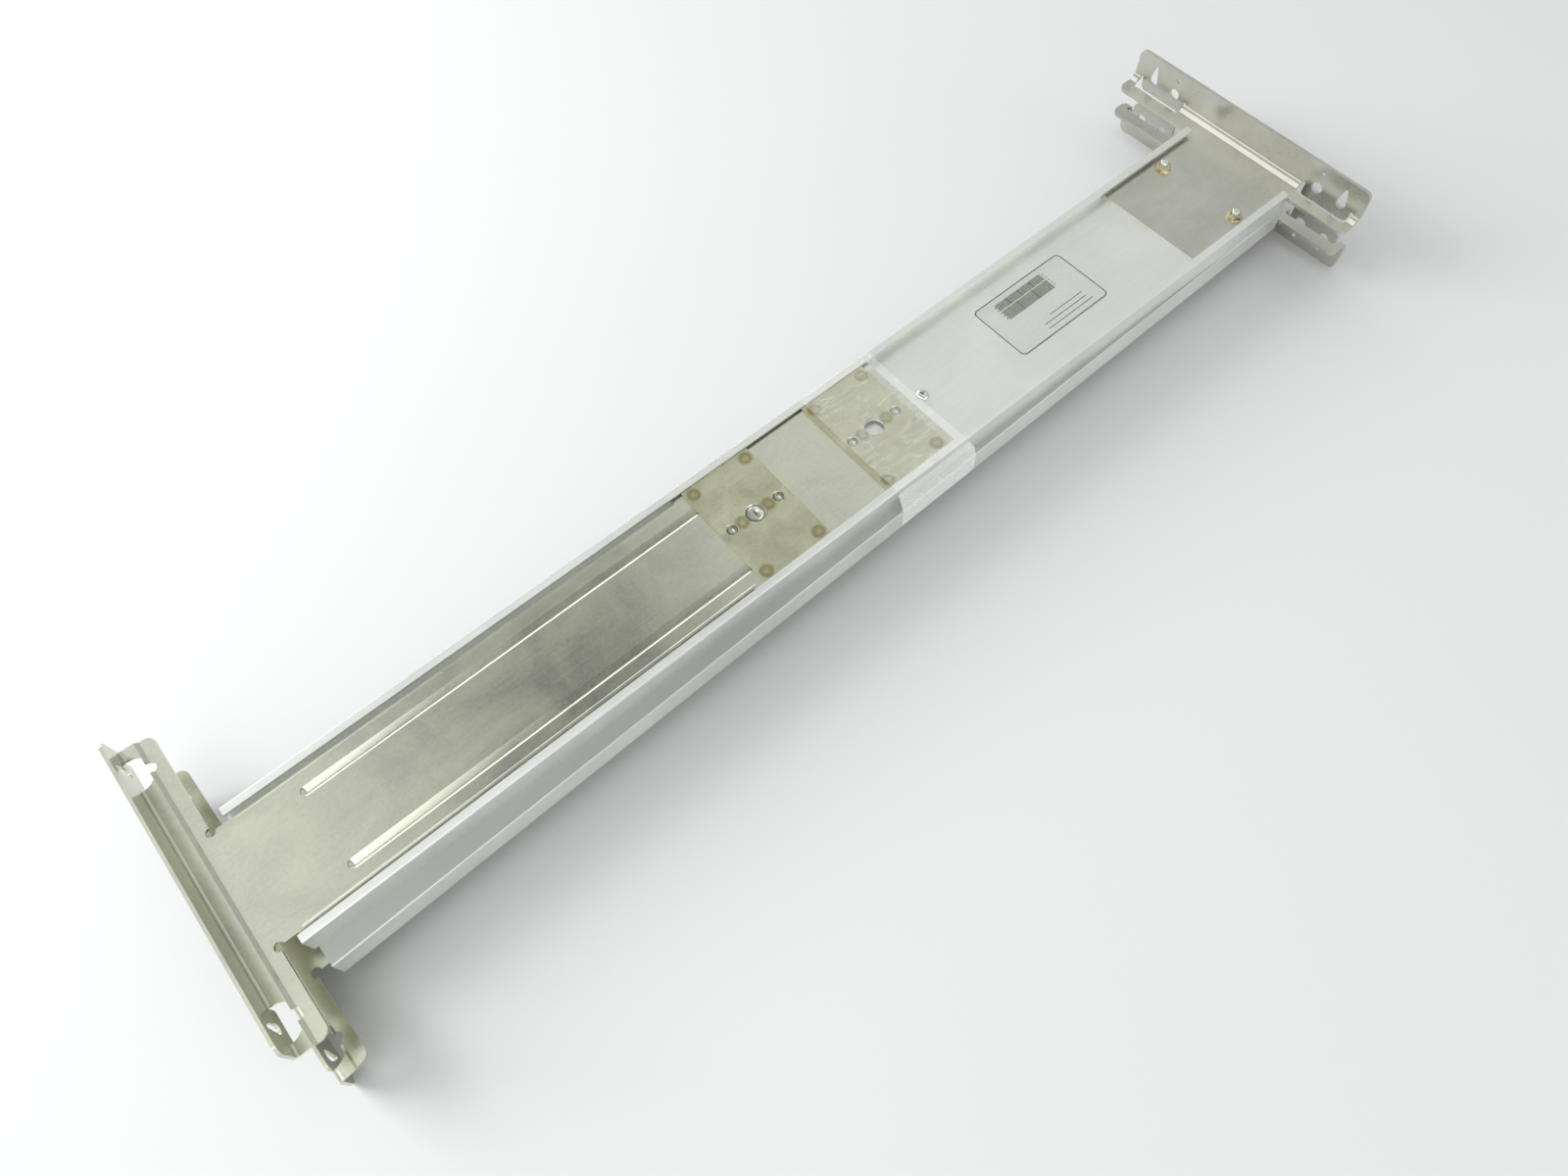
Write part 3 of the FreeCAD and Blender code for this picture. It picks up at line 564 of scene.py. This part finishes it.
def rods(spans, radius):
    # round rods along X, sunk in the metal so that only their crowns show; spans are (from, to, y, z)
    shape = bmesh.new()
    for start, end, y, z in spans:
        place = Matrix.Translation(((start + end) / 2, y, z)) @ Matrix.Rotation(math.pi / 2, 4, "Y")
        bmesh.ops.create_cone(shape, cap_ends=True, segments=edgeSizes["sides"], radius1=radius,
                              radius2=radius, depth=end - start, matrix=place)
    return smooth(meshOf(shape, "rods"), 40)


railLow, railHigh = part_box("upper_channel")
length, width, height = railHigh - railLow
for rail in ("upper", "lower"):
    middle = width / 2 - edgeSizes["lip"] - edgeSizes["gap"] - edgeSizes["rolled"]
    spans = [(edgeSizes["start"] - length / 2, edgeSizes["end"] - length / 2, side * middle,
              edgeSizes["proud"] - edgeSizes["rolled"] - dropToSlider(rail)) for side in (-1, 1)]
    finished(f"{rail}_rolled_edges", rods(spans, edgeSizes["rolled"]), seat(f"{rail}_channel", rail),
             f"{rail}_slider", sliderSteel)
    sunk = edgeSizes["corner"] - edgeSizes["cornerProud"]
    level = -sunk if rail == "upper" else sunk - height
    spans = [(edgeSizes["inset"] - length / 2, length / 2 - edgeSizes["inset"], side * (width / 2 - sunk),
              level) for side in (-1, 1)]
    # the corner rods carry the aluminium with the painted highlight
    finished(f"{rail}_channel_corners", rods(spans, edgeSizes["corner"]), seat(f"{rail}_channel", rail),
             "rails", edgeAluminiumPaintedHighlight)
print("rolled edges done")

# threaded studs; a crest stands out of the core by its share of the pitch
studSizes = {"Spread": 50.6 * mm, "Pitch": 0.7 * mm, "Radius": 2.0 * mm, "Root": 1.75 * mm,
             "Length": 8.2 * mm, "Head Radius": 3.6 * mm, "Head Thickness": 1.2 * mm}
crestShare = 0.36


def studTree():
    # a core with a thread wound round it, over a flat head, at both places
    tree, given = newTree("threadedStuds", studSizes)
    crest = maths(tree, "MULTIPLY", given["Pitch"], crestShare)
    path = maths(tree, "SUBTRACT", given["Radius"], crest)
    helix = addNode(tree, "GeometryNodeCurveSpiral", {
        "Resolution": 24, "Rotations": maths(tree, "DIVIDE", given["Length"], given["Pitch"]),
        "Start Radius": path, "End Radius": path, "Height": given["Length"]})
    thread = swept(tree, helix.outputs["Curve"], circleOf(tree, crest, 4), **{"Fill Caps": True})
    core = moved(tree, barrel(tree, given["Root"], given["Length"], 28),
                 Translation=vector(tree, z=maths(tree, "MULTIPLY", given["Length"], 0.5)))
    head = moved(tree, barrel(tree, given["Head Radius"], given["Head Thickness"], 36),
                 Translation=vector(tree, z=maths(tree, "MULTIPLY", given["Head Thickness"], -0.5)))
    side = maths(tree, "MULTIPLY", given["Spread"], -0.5)
    back = maths(tree, "MULTIPLY", given["Length"], -1.0)
    pair = addNode(tree, "GeometryNodeMeshLine", {"Count": 2, "Start Location": vector(tree, 0.0, side, back),
                                                  "Offset": vector(tree, 0.0, given["Spread"])})
    return endTree(tree, copied(tree, pair.outputs["Mesh"], together(tree, thread, core, head)), brightZinc)


threadedStuds = studTree()
for rail in ("upper", "lower"):
    node = f"{rail}_rear_studs"
    low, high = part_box(node)
    studSizes["Length"] = high.z - low.z - studSizes["Head Thickness"]
    mesh = baked(threadedStuds, bpy.data.meshes.new("blank"), studSizes, "studHolder")
    finished(f"{rail}_threaded_studs", smooth(mesh, 25), seat(node, rail), "rails",
             stands=[node])
print("studs done")

# flanged hexagon nuts
nutSizes = {"flats": 7 * mm, "height": 2.5 * mm, "flange": 4.6 * mm, "flangeHeight": 0.7 * mm,
            "bore": 2.05 * mm, "foot": 0.15 * mm, "rim": 0.1 * mm, "rimHeight": 0.35 * mm,
            "fillet": 0.25 * mm, "filletRise": 0.8, "crown": 0.97, "chamfer": 30, "mouth": 0.3 * mm,
            "sides": 72}


def hexRadius(angle):
    return nutSizes["flats"] / 2 / math.cos((angle + math.pi / 6) % (math.pi / 3) - math.pi / 6)


def flangedNut():
    top, crown, bore = nutSizes["height"], nutSizes["flats"] / 2 * nutSizes["crown"], nutSizes["bore"]
    skirt, rise, foot = nutSizes["flange"], nutSizes["flangeHeight"], nutSizes["foot"]
    slope = math.tan(math.radians(nutSizes["chamfer"]))
    rings = [lambda a: (bore, 0), lambda a: (skirt - foot, 0), lambda a: (skirt, foot),
             lambda a: (skirt - nutSizes["rim"], nutSizes["rimHeight"]),
             lambda a: (hexRadius(a) + nutSizes["fillet"], rise * nutSizes["filletRise"]),
             lambda a: (hexRadius(a), rise), lambda a: (hexRadius(a), top - (hexRadius(a) - crown) * slope),
             lambda a: (crown, top), lambda a: (bore + nutSizes["mouth"], top),
             lambda a: (bore, top - nutSizes["mouth"])]
    return ringStack(rings, nutSizes["sides"], True)


for rail in ("upper", "lower"):
    node = f"{rail}_rear_nuts"
    spots = [(0, side * studSizes["Spread"] / 2, -nutSizes["height"]) for side in (-1, 1)]
    mesh = joined("nuts", [(flangedNut(), spot) for spot in spots])
    finished(f"{rail}_flanged_nuts", smooth(mesh, 20), seat(node, rail), "rails", yellowZinc,
             [node])
print("nuts done")

# stop screws with a cross recess; the head's rim stands at a share of its height and its dome is flat over a
# share of its radius
screwSizes = {"head": 3.3 * mm, "height": 2.2 * mm, "shank": 1.5 * mm, "length": 4.0 * mm, "tip": 0.9 * mm,
              "tipLength": 0.5 * mm, "edge": 0.1 * mm, "rim": 0.62, "flat": 0.4, "domeSteps": 8, "sides": 48,
              "recess": 4.0 * mm, "slot": 1.0 * mm, "depth": 1.6 * mm, "recessTaper": 0.45, "turn": 20}


def wholeScrew():
    head, height, shank = screwSizes["head"], screwSizes["height"], screwSizes["shank"]
    edge, rim, flat, steps = (screwSizes[key] for key in ("edge", "rim", "flat", "domeSteps"))
    bottom = -height - screwSizes["length"]
    profile = [(screwSizes["tip"], bottom), (shank, bottom + screwSizes["tipLength"]), (shank, -height),
               (head - edge, -height), (head, -height + edge), (head, -height * rim)]
    for step in range(1, steps + 1):
        turn = math.pi / 2 * step / steps
        profile.append((head * (flat + (1 - flat) * math.cos(turn)), -height * rim * (1 - math.sin(turn))))
    screw = linked("screwWhole", turned(profile, screwSizes["sides"]))
    cross = bmesh.new()
    for angle in (0, math.pi / 2):
        arm = bmesh.ops.create_cube(cross, size=1)["verts"]
        bmesh.ops.scale(cross, verts=arm, vec=(screwSizes["recess"], screwSizes["slot"],
                                               2 * screwSizes["depth"]))
        for vert in arm:
            if vert.co.z < 0:
                vert.co.x *= screwSizes["recessTaper"]
        bmesh.ops.rotate(cross, verts=arm, matrix=Matrix.Rotation(angle, 3, "Z"))
    cutter = linked("screwCross", meshOf(cross, "cross"))
    cut = screw.modifiers.new("recess", "BOOLEAN")
    cut.operation, cut.solver, cut.use_self, cut.object = "DIFFERENCE", "EXACT", True, cutter
    return evaluated(screw, cutter)


for rail in ("upper", "lower"):
    node = f"{rail}_stop_screw"
    place = seat(node, rail) @ Matrix.Rotation(math.radians(screwSizes["turn"]), 4, "Z")
    finished(f"{rail}_cross_head_screw", smooth(wholeScrew(), 30), place, "rails", brightZinc,
             [node])
print("stop screws done")

# pressed cups in the doublers; the rolled edge turns through a sweep of half circles, and the floor, wall and
# bowl are shares of the radius and the depth
cupSizes = {"large": 5.2 * mm, "small": 3.1 * mm, "pitch": 14.2 * mm, "wall": 0.4 * mm, "roll": 0.5 * mm,
            "depth": 2.9 * mm, "hub": 0.02 * mm, "ease": 0.1 * mm, "floor": 0.5, "side": 0.8, "bowl": 0.97,
            "sweep": 1.1, "sweepStart": 0.25, "rollSteps": 12, "bowlSteps": 14, "sides": 56}


def turnedCup(radius):
    # a dish with a rolled edge, turned as one closed skin; its edge stands just over the plate
    wall, roll, depth, hub, ease = (cupSizes[key] for key in ("wall", "roll", "depth", "hub", "ease"))
    profile = [(hub, -depth - wall), (radius * cupSizes["floor"], -depth - wall), (radius - wall, -depth),
               (radius - ease, -depth * cupSizes["side"]), (radius - ease, -roll)]
    for step in range(cupSizes["rollSteps"] + 1):
        turn = math.pi * (step / cupSizes["rollSteps"] * cupSizes["sweep"] - cupSizes["sweepStart"])
        profile.append((radius + roll * 0.5 * math.cos(turn), roll * 0.5 * math.sin(turn)))
    mouth = radius - wall - ease
    for step in range(1, cupSizes["bowlSteps"] + 1):
        share = step / cupSizes["bowlSteps"]
        profile.append((max(mouth * math.cos(math.pi / 2 * share), hub),
                        -depth * math.sin(math.pi / 2 * share) * cupSizes["bowl"]))
    return turned(profile, cupSizes["sides"])


def cupsOf(rail, which, cups):
    mesh = joined("cups", [(turnedCup(radius), (x, 0, -cupSizes["roll"] * 0.5)) for x, radius in cups])
    node = f"{rail}_{which}_eyelets"
    finished(f"{rail}_{which}_pressed_cups", smooth(mesh, 50), seat(node, rail), f"{rail}_slider",
             cupZinc, [node])


for rail in ("upper", "lower"):
    pair = [(-cupSizes["pitch"], cupSizes["small"]), (cupSizes["pitch"], cupSizes["small"])]
    cupsOf(rail, "front", pair + [(0.0, cupSizes["large"])])
    cupsOf(rail, "rear", pair)
print("cups done")

# print on the labels: an outline, two rows of panels, plain rules, and ticks beside the panels; all but the
# outline's sizes are in millimetres of the label
printSizes = {"Length": 63.2 * mm, "Width": 37.2 * mm, "Corner": 2.8 * mm, "Line": 0.26 * mm}
outlineFlat = 0.12
pictogram = {"start": -19.8, "end": 14.2, "rows": ((15.0, 10.2, 4), (9.6, 2.8, 3)), "ink": 0.03,
             "joint": 0.35, "jointInk": 1.2}
rules = {"half": 0.18, "rows": ((-8.4, -2.0, 22.0), (-11.6, -9.0, 22.0), (-14.8, -9.0, 24.0))}
ticks = {"before": 0.9, "after": 0.7, "width": 0.5, "height": 0.9, "start": 4, "pitch": 2.2, "count": 5}


def outlineTree():
    # a fine line round the label, pressed nearly flat
    tree, given = newTree("labelOutline", printSizes)
    frameLine = addNode(tree, "GeometryNodeCurvePrimitiveQuadrilateral", {"Width": given["Length"],
                                                                          "Height": given["Width"]})
    rounded = addNode(tree, "GeometryNodeFilletCurve", {"Curve": frameLine.outputs["Curve"], "Count": 8,
                                                        "Radius": given["Corner"]}, mode="POLY")
    line = swept(tree, rounded.outputs["Curve"], circleOf(tree, given["Line"], 6))
    return endTree(tree, moved(tree, line, Scale=vector(tree, 1.0, 1.0, outlineFlat)), labelInk)


def inkBox(shape, x0, x1, y0, y1, height):
    # a thin printed block
    corners = bmesh.ops.create_cube(shape, size=1)["verts"]
    bmesh.ops.scale(shape, verts=corners, vec=((x1 - x0) * mm, (y1 - y0) * mm, height * mm))
    bmesh.ops.translate(shape, verts=corners, vec=((x0 + x1) / 2 * mm, (y0 + y1) / 2 * mm, height / 2 * mm))


def printed(draw):
    shape = bmesh.new()
    draw(shape)
    return meshOf(shape, "ink")


def cells():
    # the panels, row by row: number in the row, left side, width, bottom and top
    start, end = pictogram["start"], pictogram["end"]
    for top, bottom, count in pictogram["rows"]:
        step = (end - start) / count
        for i in range(count):
            yield i, start + i * step, step, bottom, top


def panels(shape):
    for _, left, step, bottom, top in cells():
        inkBox(shape, left, left + step - pictogram["joint"], bottom, top, pictogram["ink"])


def lines(shape):
    ink = pictogram["ink"]
    for i, left, _, bottom, top in cells():
        if i > 0:
            inkBox(shape, left - pictogram["joint"], left, bottom, top, ink * pictogram["jointInk"])
    for y, left, right in rules["rows"]:
        inkBox(shape, left, right, y - rules["half"], y + rules["half"], ink)
    for side in (pictogram["start"] - ticks["before"], pictogram["end"] + ticks["after"]):
        for i in range(ticks["count"]):
            low = ticks["start"] + i * ticks["pitch"]
            inkBox(shape, side, side + ticks["width"], low, low + ticks["height"], ink)


labelOutline = outlineTree()
for rail in ("upper", "lower"):
    place = seat(f"{rail}_label", rail)
    outline = baked(labelOutline, bpy.data.meshes.new("blank"), printSizes, "outlineHolder")
    finished(f"{rail}_label_outline", outline, place, "rails")
    finished(f"{rail}_label_panels", printed(panels), place, "rails", panelInk)
    finished(f"{rail}_label_lines", printed(lines), place, "rails", labelInk)
print("label print done")

# the film band: it sags on the flat sides, inside an inset from their edges, and its top is drawn narrower
# over a taper
filmSizes = {"gap": 0.25 * mm, "thickness": 0.08 * mm, "sag": 0.7 * mm, "sagInset": 4 * mm, "flat": 0.05 * mm,
             "corner": 1.2 * mm, "cornerSteps": 6, "sharpest": 0.3, "grain": 0.7 * mm, "taper": 8 * mm,
             "narrower": 0.08}
creaseSizes = {"Height": 0.05 * mm, "Long": 30 * mm, "Short": 7 * mm, "Middle": 0.0, "Reach": 25 * mm}
# how the creases slant, how much of the noise is a ridge, and how soon they calm towards the band's edges
creaseForm = {"slant": (0.2, 0.35, 0.65), "ridge": 0.05, "calm": 3.0}


def creaseTree():
    # pushes a sheet out along slanted, broken ridges
    tree, given = newTree("filmCreases", creaseSizes)
    where = addNode(tree, "GeometryNodeInputPosition").outputs["Position"]
    slanted = addNode(tree, "ShaderNodeVectorRotate", {"Vector": where, "Rotation": creaseForm["slant"]},
                      rotation_type="EULER_XYZ")
    scaled = addNode(tree, "ShaderNodeVectorMath", {
        0: slanted.outputs["Vector"], 1: vector(tree, given["Long"], given["Short"], given["Short"])},
        operation="DIVIDE")
    haze = noise(tree, scaled.outputs["Vector"], 1.0, 3.0, Distortion=0.7)
    fold = maths(tree, "ABSOLUTE", maths(tree, "SUBTRACT", haze, 0.5))
    ridge = mapped(tree, fold, (0.0, creaseForm["ridge"]), (1.0, 0.0))
    away = maths(tree, "ABSOLUTE", maths(tree, "SUBTRACT", axesOf(tree, where)["X"], given["Middle"]))
    calm = mapped(tree, away, (given["Reach"], 0.0), (0.0, creaseForm["calm"]))
    height = maths(tree, "MULTIPLY", maths(tree, "MINIMUM", calm, 1.0), given["Height"])
    rise = maths(tree, "MULTIPLY", ridge, height)
    normal = addNode(tree, "GeometryNodeInputNormal").outputs["Normal"]
    push = addNode(tree, "ShaderNodeVectorMath", {0: normal, "Scale": rise}, operation="SCALE")
    pushed = addNode(tree, "GeometryNodeSetPosition", {"Geometry": given["Geometry"],
                                                       "Offset": push.outputs["Vector"]})
    return endTree(tree, pushed.outputs["Geometry"], filmClear)


def roundRails(x):
    # the rails' outline across at x, as the film meets it: six corners, (y, z), anticlockwise from +X
    upperLow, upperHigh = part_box("upper_channel")
    lowerLow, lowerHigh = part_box("lower_channel")
    half = (upperHigh.y - upperLow.y) / 2
    upperY = (upperHigh.y + upperLow.y) / 2
    spot = (lowerLow + lowerHigh) / 2
    lowerY = spot.y + (x - spot.x) * math.tan(yaw)
    top, contact, bottom = upperHigh.z, upperLow.z, lowerLow.z
    return [Vector(p) for p in ((upperY + half, contact), (upperY + half, top), (upperY - half, top),
                                (lowerY - half, contact), (lowerY - half, bottom), (lowerY + half, bottom))]


def grown(corners, gap):
    # each side of the outline moved out by the gap; "sharpest" keeps a keen corner from running away
    result = []
    for i, here in enumerate(corners):
        before, after = corners[i - 1], corners[(i + 1) % len(corners)]
        sides = [(here - before).normalized(), (after - here).normalized()]
        outward = [Vector((side.y, -side.x)) for side in sides]
        bisector = (outward[0] + outward[1]).normalized()
        result.append(here + bisector * gap / max(bisector.dot(outward[0]), filmSizes["sharpest"]))
    return result


def loopPoints(corners, count):
    # points evenly spaced round the outline, its corners rounded off, and the length round it
    radius, steps = filmSizes["corner"], filmSizes["cornerSteps"]
    path = []
    for i, here in enumerate(corners):
        before, after = corners[i - 1], corners[(i + 1) % len(corners)]
        start = here + (before - here).normalized() * radius
        end = here + (after - here).normalized() * radius
        for step in range(steps + 1):
            t = step / steps
            path.append(start * (1 - t) ** 2 + here * 2 * t * (1 - t) + end * t ** 2)
    lengths = [(path[(i + 1) % len(path)] - path[i]).length for i in range(len(path))]
    total = sum(lengths)
    points, i, done = [], 0, 0.0
    for step in range(count):
        target = total * step / count
        while done + lengths[i] < target:
            done += lengths[i]
            i += 1
        share = (target - done) / lengths[i]
        points.append(path[i].lerp(path[(i + 1) % len(path)], share))
    return points, total


def filmLoop():
    # the band's middle skin, its width and its length round the rails
    low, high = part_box("packing_film_band")
    rows = round((high.x - low.x) / filmSizes["grain"])
    count = round(loopPoints(roundRails(low.x), 8)[1] / filmSizes["grain"])
    spots, around = [], 0.0
    for row in range(rows + 1):
        x = low.x + (high.x - low.x) * row / rows
        corners = grown(roundRails(x), filmSizes["gap"])
        points, total = loopPoints(corners, count)
        around += total / (rows + 1)
        middles = (corners[1].x + corners[2].x) / 2, (corners[4].x + corners[5].x) / 2
        reach = (corners[1].x - corners[2].x) / 2 - filmSizes["sagInset"]
        top, bottom = corners[1].y, corners[4].y
        for y, level in points:
            z = level
            overTop, overBottom = level > top - filmSizes["flat"], level < bottom + filmSizes["flat"]
            if overTop or overBottom:
                middle = middles[0] if overTop else middles[1]
                sag = filmSizes["sag"] * max(0.0, 1 - ((y - middle) / reach) ** 2)
                z += -sag if overTop else sag
            narrow = min(max((level - top) / filmSizes["taper"] + 1, 0.0), 1.0)
            spots.append((low.x + (x - low.x) * (1 - filmSizes["narrower"] * narrow), y, z))
    faces = []
    for row in range(rows):
        for i in range(count):
            j = (i + 1) % count
            faces.append((row * count + i, row * count + j, (row + 1) * count + j, (row + 1) * count + i))
    mesh = bpy.data.meshes.new("film")
    mesh.from_pydata(spots, [], faces)
    shape = bmesh.new()
    shape.from_mesh(mesh)
    bmesh.ops.recalc_face_normals(shape, faces=shape.faces)
    shape.to_mesh(mesh)
    shape.free()
    return mesh, high.x - low.x, around


loop, filmWidth, filmAround = filmLoop()
bandLow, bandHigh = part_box("packing_film_band")
creaseSizes["Middle"] = (bandLow.x + bandHigh.x) / 2
creased = baked(creaseTree(), loop, creaseSizes, "creaseHolder")
film = finished("stretch_film", smooth(thickened(creased, filmSizes["thickness"]), 60), Matrix(), "rails",
                filmClear, ["packing_film_band"])
print("film done")

# floor, sky, lamps and camera
floorSize = 8
floorMaterial = newMaterial("paleFloor", Base_Color=linear("#C4C5C5"), Roughness=0.55)[0]
bpy.ops.mesh.primitive_plane_add(size=floorSize)
floor = bpy.context.object
floor.name = "floor"
floor.data.materials.append(floorMaterial)

world = bpy.context.scene.world or bpy.data.worlds.new("studio")
bpy.context.scene.world = world
world.use_nodes = True
sky = world.node_tree
aims = axesOf(sky, addNode(sky, "ShaderNodeTexCoord").outputs["Generated"])
# the studio that the metal mirrors: soft bands along X, a dark patch overhead, and two bright windows that
# are given as light and not as colours; each has its middle along an axis, how far it is full, and how far
# until it is gone
skyBands = [(0.0, "#D0D2D0"), (0.40, "#ECEEEC"), (0.455, "#FCFEFC"), (0.50, "#E2E4E2"), (0.575, "#D2D4D2"),
            (0.615, "#ECEEEC"), (0.665, "#FAFCFA"), (0.80, "#D6D8D6"), (1.0, "#CCCECC")]
patchAlong, patchAcross, patchColour = (0.08, 0.03, 0.21), (0.05, 0.2, 0.7), "#4A4C4A"
windows = (("X", (-0.56, 0.20, 0.33), (1.5, 1.5, 1.54, 1)), ("Y", (0.92, 0.035, 0.07), (3.2, 3.23, 3.4, 1)))


def closeTo(axis, middle, near, far):
    # one near a place along an axis, falling to nothing further off
    away = maths(sky, "ABSOLUTE", maths(sky, "SUBTRACT", aims[axis], middle))
    return mapped(sky, away, (far, near), interpolation_type="SMOOTHSTEP")


over = maths(sky, "MULTIPLY", closeTo("X", *patchAlong), closeTo("Y", *patchAcross))
bands = shades(sky, mapped(sky, aims["X"], (-1.0, 1.0)), skyBands)
tone = mixedColours(sky, over, bands, linear(patchColour))
for axis, extent, light in windows:
    tone = mixedColours(sky, closeTo(axis, *extent), tone, light)
sky.links.new(tone, sky.nodes["Background"].inputs["Color"])
sky.nodes["Background"].inputs["Strength"].default_value = 1.0

# place, size and watts of each lamp; all aim at the middle of the pair
lamps = {"keyLamp": ((-1.0, 1.1, 0.8), (0.9, 0.9), 33), "fillLamp": ((0.3, -1.6, 0.3), (1.6, 0.4), 8),
         "topLamp": ((-0.5, -0.12, 1.6), (0.5, 0.5), 1.4)}
for name, (spot, size, watts) in lamps.items():
    lamp = bpy.data.lights.new(name, "AREA")
    lamp.shape = "RECTANGLE"
    lamp.size, lamp.size_y, lamp.energy = *size, watts
    holder = linked(name, lamp)
    holder.location = spot
    holder.rotation_euler = (-Vector(spot)).to_track_quat("-Z", "Y").to_euler()
    holder.visible_glossy = name != "keyLamp"  # metal mirrors the sky instead

cameraView = {"place": (-0.1993, -0.2293, 0.4910), "degrees": (27.473, 1.602, -40.164), "lens": 25.5,
              "sensor": 36}
camera = linked("camera", bpy.data.cameras.new("camera"))
camera.data.lens = cameraView["lens"]
camera.data.sensor_width = cameraView["sensor"]
camera.location = cameraView["place"]
camera.rotation_euler = [math.radians(angle) for angle in cameraView["degrees"]]
bpy.context.scene.camera = camera
bpy.context.scene.view_settings.view_transform = "Standard"
print("stage done")
